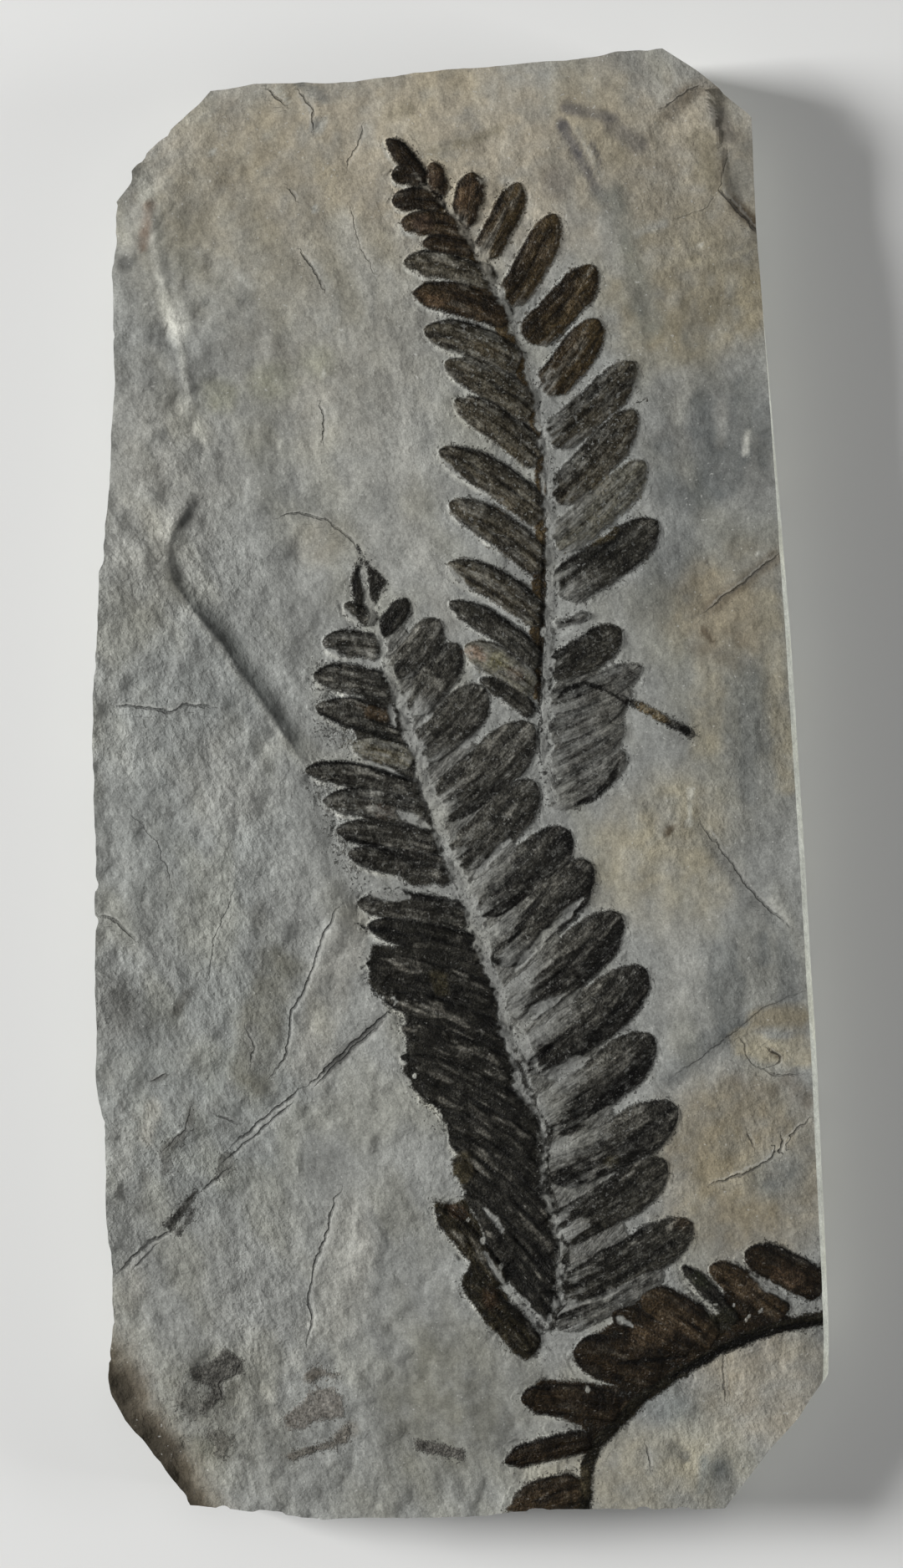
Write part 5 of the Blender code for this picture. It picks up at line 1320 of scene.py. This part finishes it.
UPPER_FROND = {
    "webs": (
        (((-4.8, 65.6), (-4.6, 62.6), (-3.0, 59.8), (-1.6, 57.6), (0.6, 54.2), (3.2, 50.0), (5.2, 46.0),
          (6.6, 42.0), (7.6, 38.0), (8.0, 32.0), (7.8, 26.0), (7.4, 20.0), (7.2, 14.0), (7.6, 9.4),
          (8.6, 8.4), (9.0, 14.0), (9.4, 22.0), (9.5, 30.0), (8.6, 39.5), (7.0, 46.5), (3.6, 54.2),
          (-1.0, 62.0)), -40, "warm_dark"),
        (((9.9, 0.6), (14.0, 2.4), (17.4, 4.2), (17.6, 7.4), (18.6, 9.6), (18.2, 11.8), (14.0, 12.4),
          (10.1, 11.4)), 38, "faint"),
    ),
    "left": (
        (-4.6, 65.8, -8.3, 70.2, 2.3, "dark_brown"), (-4.2, 66.0, -7.7, 66.3, 2.4, "dark_brown"),
        (-2.4, 63.3, -7.6, 63.5, 2.9, "dark_brown"), (0.2, 60.4, -6.7, 61.1, 3.1, "brown"),
        (1.0, 58.0, -4.3, 58.9, 2.4, "brown"), (3.2, 54.8, -6.4, 56.9, 3.2, "olive_dark"),
        (5.0, 50.8, -5.3, 53.5, 3.7, "brown"), (6.2, 45.8, -4.1, 49.5, 3.8, "olive_dark"),
        (7.6, 40.6, -1.8, 45.9, 4.1, "olive_dark"), (8.3, 35.4, -0.9, 41.8, 3.9, "olive_dark"),
        (8.8, 29.2, -2.5, 36.3, 3.9, "olive_dark"), (9.0, 23.6, -1.4, 30.6, 3.8, "olive_dark"),
        (8.8, 18.0, -1.6, 24.0, 3.6, "olive_dark"), (8.4, 13.2, -1.4, 19.8, 2.9, "dark"),
        (7.8, 10.5, 0.3, 15.0, 3.6, "olive"), (7.6, 7.8, 1.8, 11.5, 2.2, "dark"),
    ),
    "right": (
        (-2.4, 64.3, -3.3, 67.7, 2.2, "brown"), (-0.2, 60.9, 1.2, 66.6, 3.3, "brown"),
        (2.2, 57.6, 6.3, 65.4, 3.3, "warm_dark"), (5.0, 52.6, 10.2, 62.0, 3.8, "warm_dark"),
        (7.2, 48.6, 14.5, 56.3, 4.3, "warm_dark"), (9.1, 43.0, 14.9, 50.5, 4.2, "warm_dark"),
        (9.8, 37.4, 18.8, 45.9, 4.3, "olive_dark"), (10.2, 31.2, 18.9, 40.6, 4.4, "olive_dark"),
        (10.3, 26.3, 19.9, 35.0, 4.2, "olive"), (10.5, 21.2, 21.3, 28.6, 5.0, "dark"),
        (9.9, 12.2, 17.3, 16.8, 4.2, "dark"), (9.9, -1.8, 17.8, 3.3, 3.6, "faint"),
        (10.3, 17.5, 13.8, 18.5, 1.1, "faint"), (9.6, 8.6, 19.5, 12.7, 3.4, "faint"),
        (9.6, 5.4, 17.9, 9.4, 3.4, "faint"), (9.6, 1.8, 17.6, 6.4, 3.4, "faint"),
    ),
    "left_form": (0.32, 0.05, 1.0),
    "right_form": (0.25, -0.03, 0.95),
    "pleats": 0.26,
    "pale_feet": 0.3,
    "rim_highlights": 1.0,
    "stem": ((-5.0, 66.2), (-4.2, 65.0), (-1.0, 62.0), (1.7, 58.0), (3.6, 54.2), (5.8, 49.5),
             (7.0, 46.5), (8.0, 43.0), (8.6, 39.5), (9.2, 36.0), (9.5, 32.0), (9.5, 28.0), (9.7, 24.0),
             (9.6, 20.0), (9.4, 16.0), (9.2, 12.0), (9.0, 9.0), (8.9, 6.0), (8.8, 3.5), (9.4, 1.0),
             (9.8, -1.5)),
    "stem_film": (1.2, 0.3, 0.1, 0.5, 1.0, 1.1, 1.1),
    "stem_ridge": (0.1, 0.6, 0.9, 0.8, 0.7, 0.8, 0.8),
    "stem_worn": (0.3, 0.8, 1.0, 0.9, 0.95, 0.95, 0.95),
    "stem_rise": (0.02, 0.0, 0.02, 0.1, 0.13, 0.12),
    "stem_finish": "dark",
    "stem_thin": 0.2,
    "pale_lines": (
        (((-4.3, 47.6), (-3.1, 47.0), (0.0, 46.5)), 0.5),
        (((-1.6, 44.0), (-1.0, 43.0), (0.6, 41.9)), 0.5),
        (((-1.9, 42.0), (-1.0, 40.2), (0.6, 38.6), (2.6, 37.4)), 0.5),
        (((-3.0, 36.5), (-2.6, 35.2), (-1.0, 33.8), (1.8, 31.3)), 0.6),
        (((-1.8, 30.0), (-1.2, 28.4), (0.6, 27.0)), 0.5),
        (((-1.9, 24.0), (-1.0, 22.6), (0.4, 21.4)), 0.4),
    ),
    "dark_lines": (
        (((8.9, 27.0), (8.8, 22.0), (8.7, 17.5), (8.5, 13.0), (8.4, 9.0), (8.3, 5.0), (8.5, 2.0)), 0.35),
        (((0.0, 22.8), (2.2, 21.5), (4.5, 20.0)), 0.3), (((18.8, 41.4), (20.0, 41.9), (20.4, 41.0)), 0.3),
        (((9.8, 8.8), (11.6, 10.4), (13.4, 11.0), (15.4, 10.3), (17.2, 9.3)), 0.3),
        (((12.4, -2.3), (14.5, -1.5), (16.3, 0.4), (17.1, 2.6)), 0.7),
    ),
    "patches": (
        (0.2, 63.6, 0.9, 2.2, -20, (0.085, 0.056, 0.033), 0.6),
        (-2.9, 66.0, 0.8, 1.4, 0, (0.062, 0.042, 0.028), 0.5),
        (-3.0, 52.6, 1.8, 0.7, -15, (0.088, 0.057, 0.034), 0.6),
        (-4.4, 61.0, 1.6, 0.8, 0, (0.048, 0.032, 0.024), 0.6),
        (1.6, 14.2, 1.5, 0.8, -25, (0.17, 0.102, 0.066), 0.7),
        (3.8, 13.4, 1.2, 1.1, -25, (0.135, 0.125, 0.062), 0.75),
        (5.9, 12.0, 1.0, 0.8, -30, (0.070, 0.048, 0.030), 0.7),
        (15.6, 27.2, 2.0, 1.0, 35, (0.060, 0.050, 0.028), 0.6),
        (9.4, 57.6, 1.4, 1.8, -20, (0.052, 0.040, 0.026), 0.5),
        (12.2, 52.2, 1.6, 1.0, 50, (0.060, 0.046, 0.028), 0.5),
        (15.2, 32.6, 1.6, 1.2, 40, (0.075, 0.062, 0.036), 0.5),
        (2.6, 47.2, 1.8, 0.7, -25, (0.065, 0.050, 0.027), 0.5),
        (5.4, 36.0, 1.6, 0.9, -30, (0.065, 0.052, 0.028), 0.5),
        (4.6, 30.4, 1.4, 0.9, -30, (0.060, 0.047, 0.027), 0.5),
    ),
    "lumps_and_glints": (
        (1.7, 58.0, 0.35), (3.6, 54.2, 0.45), (8.7, 16.5, 0.35), (10.2, 17.0, 0.25), (9.0, 35.4, 0.3),
        (2.0, 65.6, 0.4), (-1.4, 62.6, 0.6), (9.4, 0.6, 0.4), (7.2, 17.0, 0.25),
    ),
}

upper_frond = lay_frond("upper_frond", UPPER_FROND, 0.14, 0.006)
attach(upper_frond, "root")


# ---------------------------------------------------------------------------------------------------
# The corner frond
# One side of a third frond, cut off by the sawn edge and the bottom: a thicker, browner coal film
# whose leaflets overlap along a black stem.
# ---------------------------------------------------------------------------------------------------

CORNER_FROND = {
    "webs": (
        (((13.6, -73.5), (14.5, -72.5), (15.0, -71.7), (16.5, -70.7), (17.8, -69.2), (19.6, -67.4),
          (21.4, -66.0), (24.2, -64.3), (26.0, -63.3), (28.0, -62.1), (30.0, -61.2), (32.6, -60.2),
          (34.9, -59.8), (37.2, -59.2), (39.8, -58.7), (39.8, -57.1), (37.5, -57.7), (35.8, -57.9),
          (34.2, -57.2), (33.2, -56.0), (32.2, -54.8), (30.8, -53.9), (29.2, -53.2), (28.2, -54.4),
          (28.4, -56.4), (27.3, -58.2), (26.4, -58.6), (25.7, -57.2), (24.6, -56.2), (21.4, -55.2),
          (19.5, -55.2), (18.6, -56.4), (16.5, -57.4), (16.9, -58.4), (15.2, -59.3), (13.0, -60.6),
          (12.0, -61.9), (12.4, -63.2), (14.3, -64.8), (16.9, -65.6), (13.0, -65.0), (8.7, -64.7),
          (7.2, -65.8), (6.5, -67.1), (7.9, -68.5), (10.9, -69.2), (12.8, -69.9), (13.6, -71.2),
          (12.6, -72.2)), 20, "dark_brown"),
        (((4.4, -79.3), (12.9, -79.3), (13.4, -77.6), (14.2, -75.8), (13.8, -74.2), (12.8, -75.4),
          (9.6, -75.7), (7.2, -76.6), (5.6, -78.0)), 15, "brown"),
    ),
    "left": (
        (38.9, -54.9, 30.7, -50.9, 4.1, "dark_brown"), (35.0, -57.6, 26.9, -52.4, 3.4, "brown"),
        (29.6, -58.4, 23.9, -52.4, 1.9, "black"), (27.4, -60.6, 19.4, -55.5, 4.6, "brown"),
        (24.6, -61.6, 16.3, -57.4, 3.6, "dark_brown"), (21.6, -63.8, 12.2, -61.7, 5.2, "dark_brown"),
        (17.0, -68.0, 6.4, -66.8, 4.0, "dark_brown"), (13.8, -71.4, 4.6, -73.9, 2.8, "dark_brown"),
        (12.8, -76.4, 5.4, -78.9, 3.9, "brown"),
    ),
    "left_form": (0.2, 0.03, 1.0),
    "pleats": 0.15,
    "rim_highlights": 0.3,
    "stem": ((39.6, -58.1), (34.9, -58.9), (32.6, -59.5), (28.0, -61.4), (26.0, -62.6), (22.4, -64.8),
             (19.6, -66.7), (16.5, -69.9), (14.6, -71.7), (13.6, -74.0), (13.2, -78.8)),
    "stem_film": (1.6, 1.6),
    "stem_ridge": (0.0, 0.0),
    "stem_worn": (0.0, 0.0),
    "stem_rise": (0.03, 0.05),
    "stem_finish": "olive_black",
    "stem_thin": 0.03,
    "pale_lines": ((((23.7, -54.2), (26.2, -56.5)), 0.35), (((16.8, -58.0), (18.4, -59.0)), 0.3),
                   (((31.4, -53.4), (34.4, -55.4), (38.9, -57.2)), 0.8)),
    "dark_lines": ((((39.4, -58.6), (34.9, -59.4), (30.0, -60.8), (26.0, -62.8), (22.4, -64.9)), 0.8),
                   (((24.2, -54.6), (26.6, -57.2)), 0.3), (((17.0, -63.0), (24.0, -62.4)), 0.3)),
    "lumps_and_glints": (
        (13.6, -66.1, 0.3), (31.0, -58.0, 0.25), (32.4, -57.2, 0.2), (25.2, -53.4, 0.2),
        (29.6, -56.6, 0.2), (27.6, -56.9, 0.25), (34.6, -58.3, 0.2),
    ),
    "patches": (
        (31.0, -55.0, 1.6, 1.2, 20, (0.055, 0.040, 0.026), 0.7),
        (13.4, -76.0, 0.9, 2.0, 0, (0.05, 0.042, 0.025), 0.6),
        (20.5, -60.0, 3.2, 1.6, 20, (0.048, 0.034, 0.021), 0.65),
        (28.4, -58.0, 1.8, 1.6, 30, (0.013, 0.013, 0.008), 0.8),
        (35.6, -53.6, 2.4, 1.2, -25, (0.050, 0.034, 0.022), 0.6),
        (26.0, -54.0, 1.4, 1.0, -30, (0.012, 0.014, 0.008), 0.7),
        (12.0, -66.6, 2.6, 0.8, -5, (0.030, 0.022, 0.014), 0.6),
    ),
}

corner_frond = lay_frond("corner_frond", CORNER_FROND, 0.12, 0.008)
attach(corner_frond, "root")


# ---------------------------------------------------------------------------------------------------
# The loose stalk
# A short piece of stem that lies across the upper frond's lower end: a narrow olive brown film with
# a black broken end.
# ---------------------------------------------------------------------------------------------------

LOOSE_STALK = {
    "stem": ((13.5, 11.3), (17.0, 9.6), (19.6, 8.4), (24.8, 5.5)),
    "stem_film": (0.5, 1.1),
    "stem_ridge": (0.0, 0.0),
    "stem_worn": (0.0, 0.0),
    "stem_rise": (0.1, 0.1),
    "stem_finish": "dark",
    "stem_thin": 0.2,
    "dark_lines": ((((23.8, 6.2), (24.9, 5.5)), 1.0), (((17.0, 9.3), (23.4, 5.9)), 0.3)),
    "patches": ((20.6, 7.8, 2.2, 0.7, -27, (0.085, 0.066, 0.036), 0.8),),
}

loose_stalk = lay_frond("loose_stalk", LOOSE_STALK, 0.1, 0.010)
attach(loose_stalk, "root")


# ---------------------------------------------------------------------------------------------------
# The floor, the lights and the camera
# A plain matt floor for the plate to lie on. One low light on the left rakes across the relief, and
# two soft ones fill the shadows.
# ---------------------------------------------------------------------------------------------------

bpy.ops.mesh.primitive_plane_add(size=6.0)
floor = bpy.context.object
floor.name = "floor"
paint = bpy.data.materials.new("floor_paint")
paint.use_nodes = True
paint.node_tree.nodes["Principled BSDF"].inputs["Base Color"].default_value = (0.68, 0.68, 0.67, 1.0)
paint.node_tree.nodes["Principled BSDF"].inputs["Roughness"].default_value = 0.9
floor.data.materials.append(paint)


def soft_light(name, place, size, watts):
    """A square soft light that faces the plate."""
    lamp = bpy.data.lights.new(name, "AREA")
    lamp.size = size
    lamp.energy = watts
    holder = bpy.data.objects.new(name, lamp)
    holder.location = place
    holder.rotation_euler = (-Vector(place)).to_track_quat("-Z", "Y").to_euler()
    bpy.context.scene.collection.objects.link(holder)


soft_light("window_light", (-1.12, 0.16, 0.46), 0.36, 28.6)
soft_light("ceiling_light", (0.25, 0.35, 1.5), 1.4, 3.4)
soft_light("side_light", (1.2, -0.1, 0.3), 0.4, 7.0)
world = bpy.context.scene.world or bpy.data.worlds.new("studio")
bpy.context.scene.world = world
world.use_nodes = True
world.node_tree.nodes["Background"].inputs["Color"].default_value = (1.0, 1.0, 1.0, 1.0)
world.node_tree.nodes["Background"].inputs["Strength"].default_value = 0.10

VIEW_HEIGHT = 170.5 * MM  # how much of the plate's plane the view takes in from top to bottom
lens = bpy.data.cameras.new("camera")
lens.lens = 70.0
lens.sensor_width = 36.0
camera = bpy.data.objects.new("camera", lens)
distance = VIEW_HEIGHT * lens.lens / lens.sensor_width
camera.location = (-1.14 * MM, 0.0, SLAB_THICKNESS * MM + distance)  # straight above the plate
bpy.context.scene.collection.objects.link(camera)
bpy.context.scene.camera = camera
bpy.context.scene.view_settings.view_transform = "Standard"
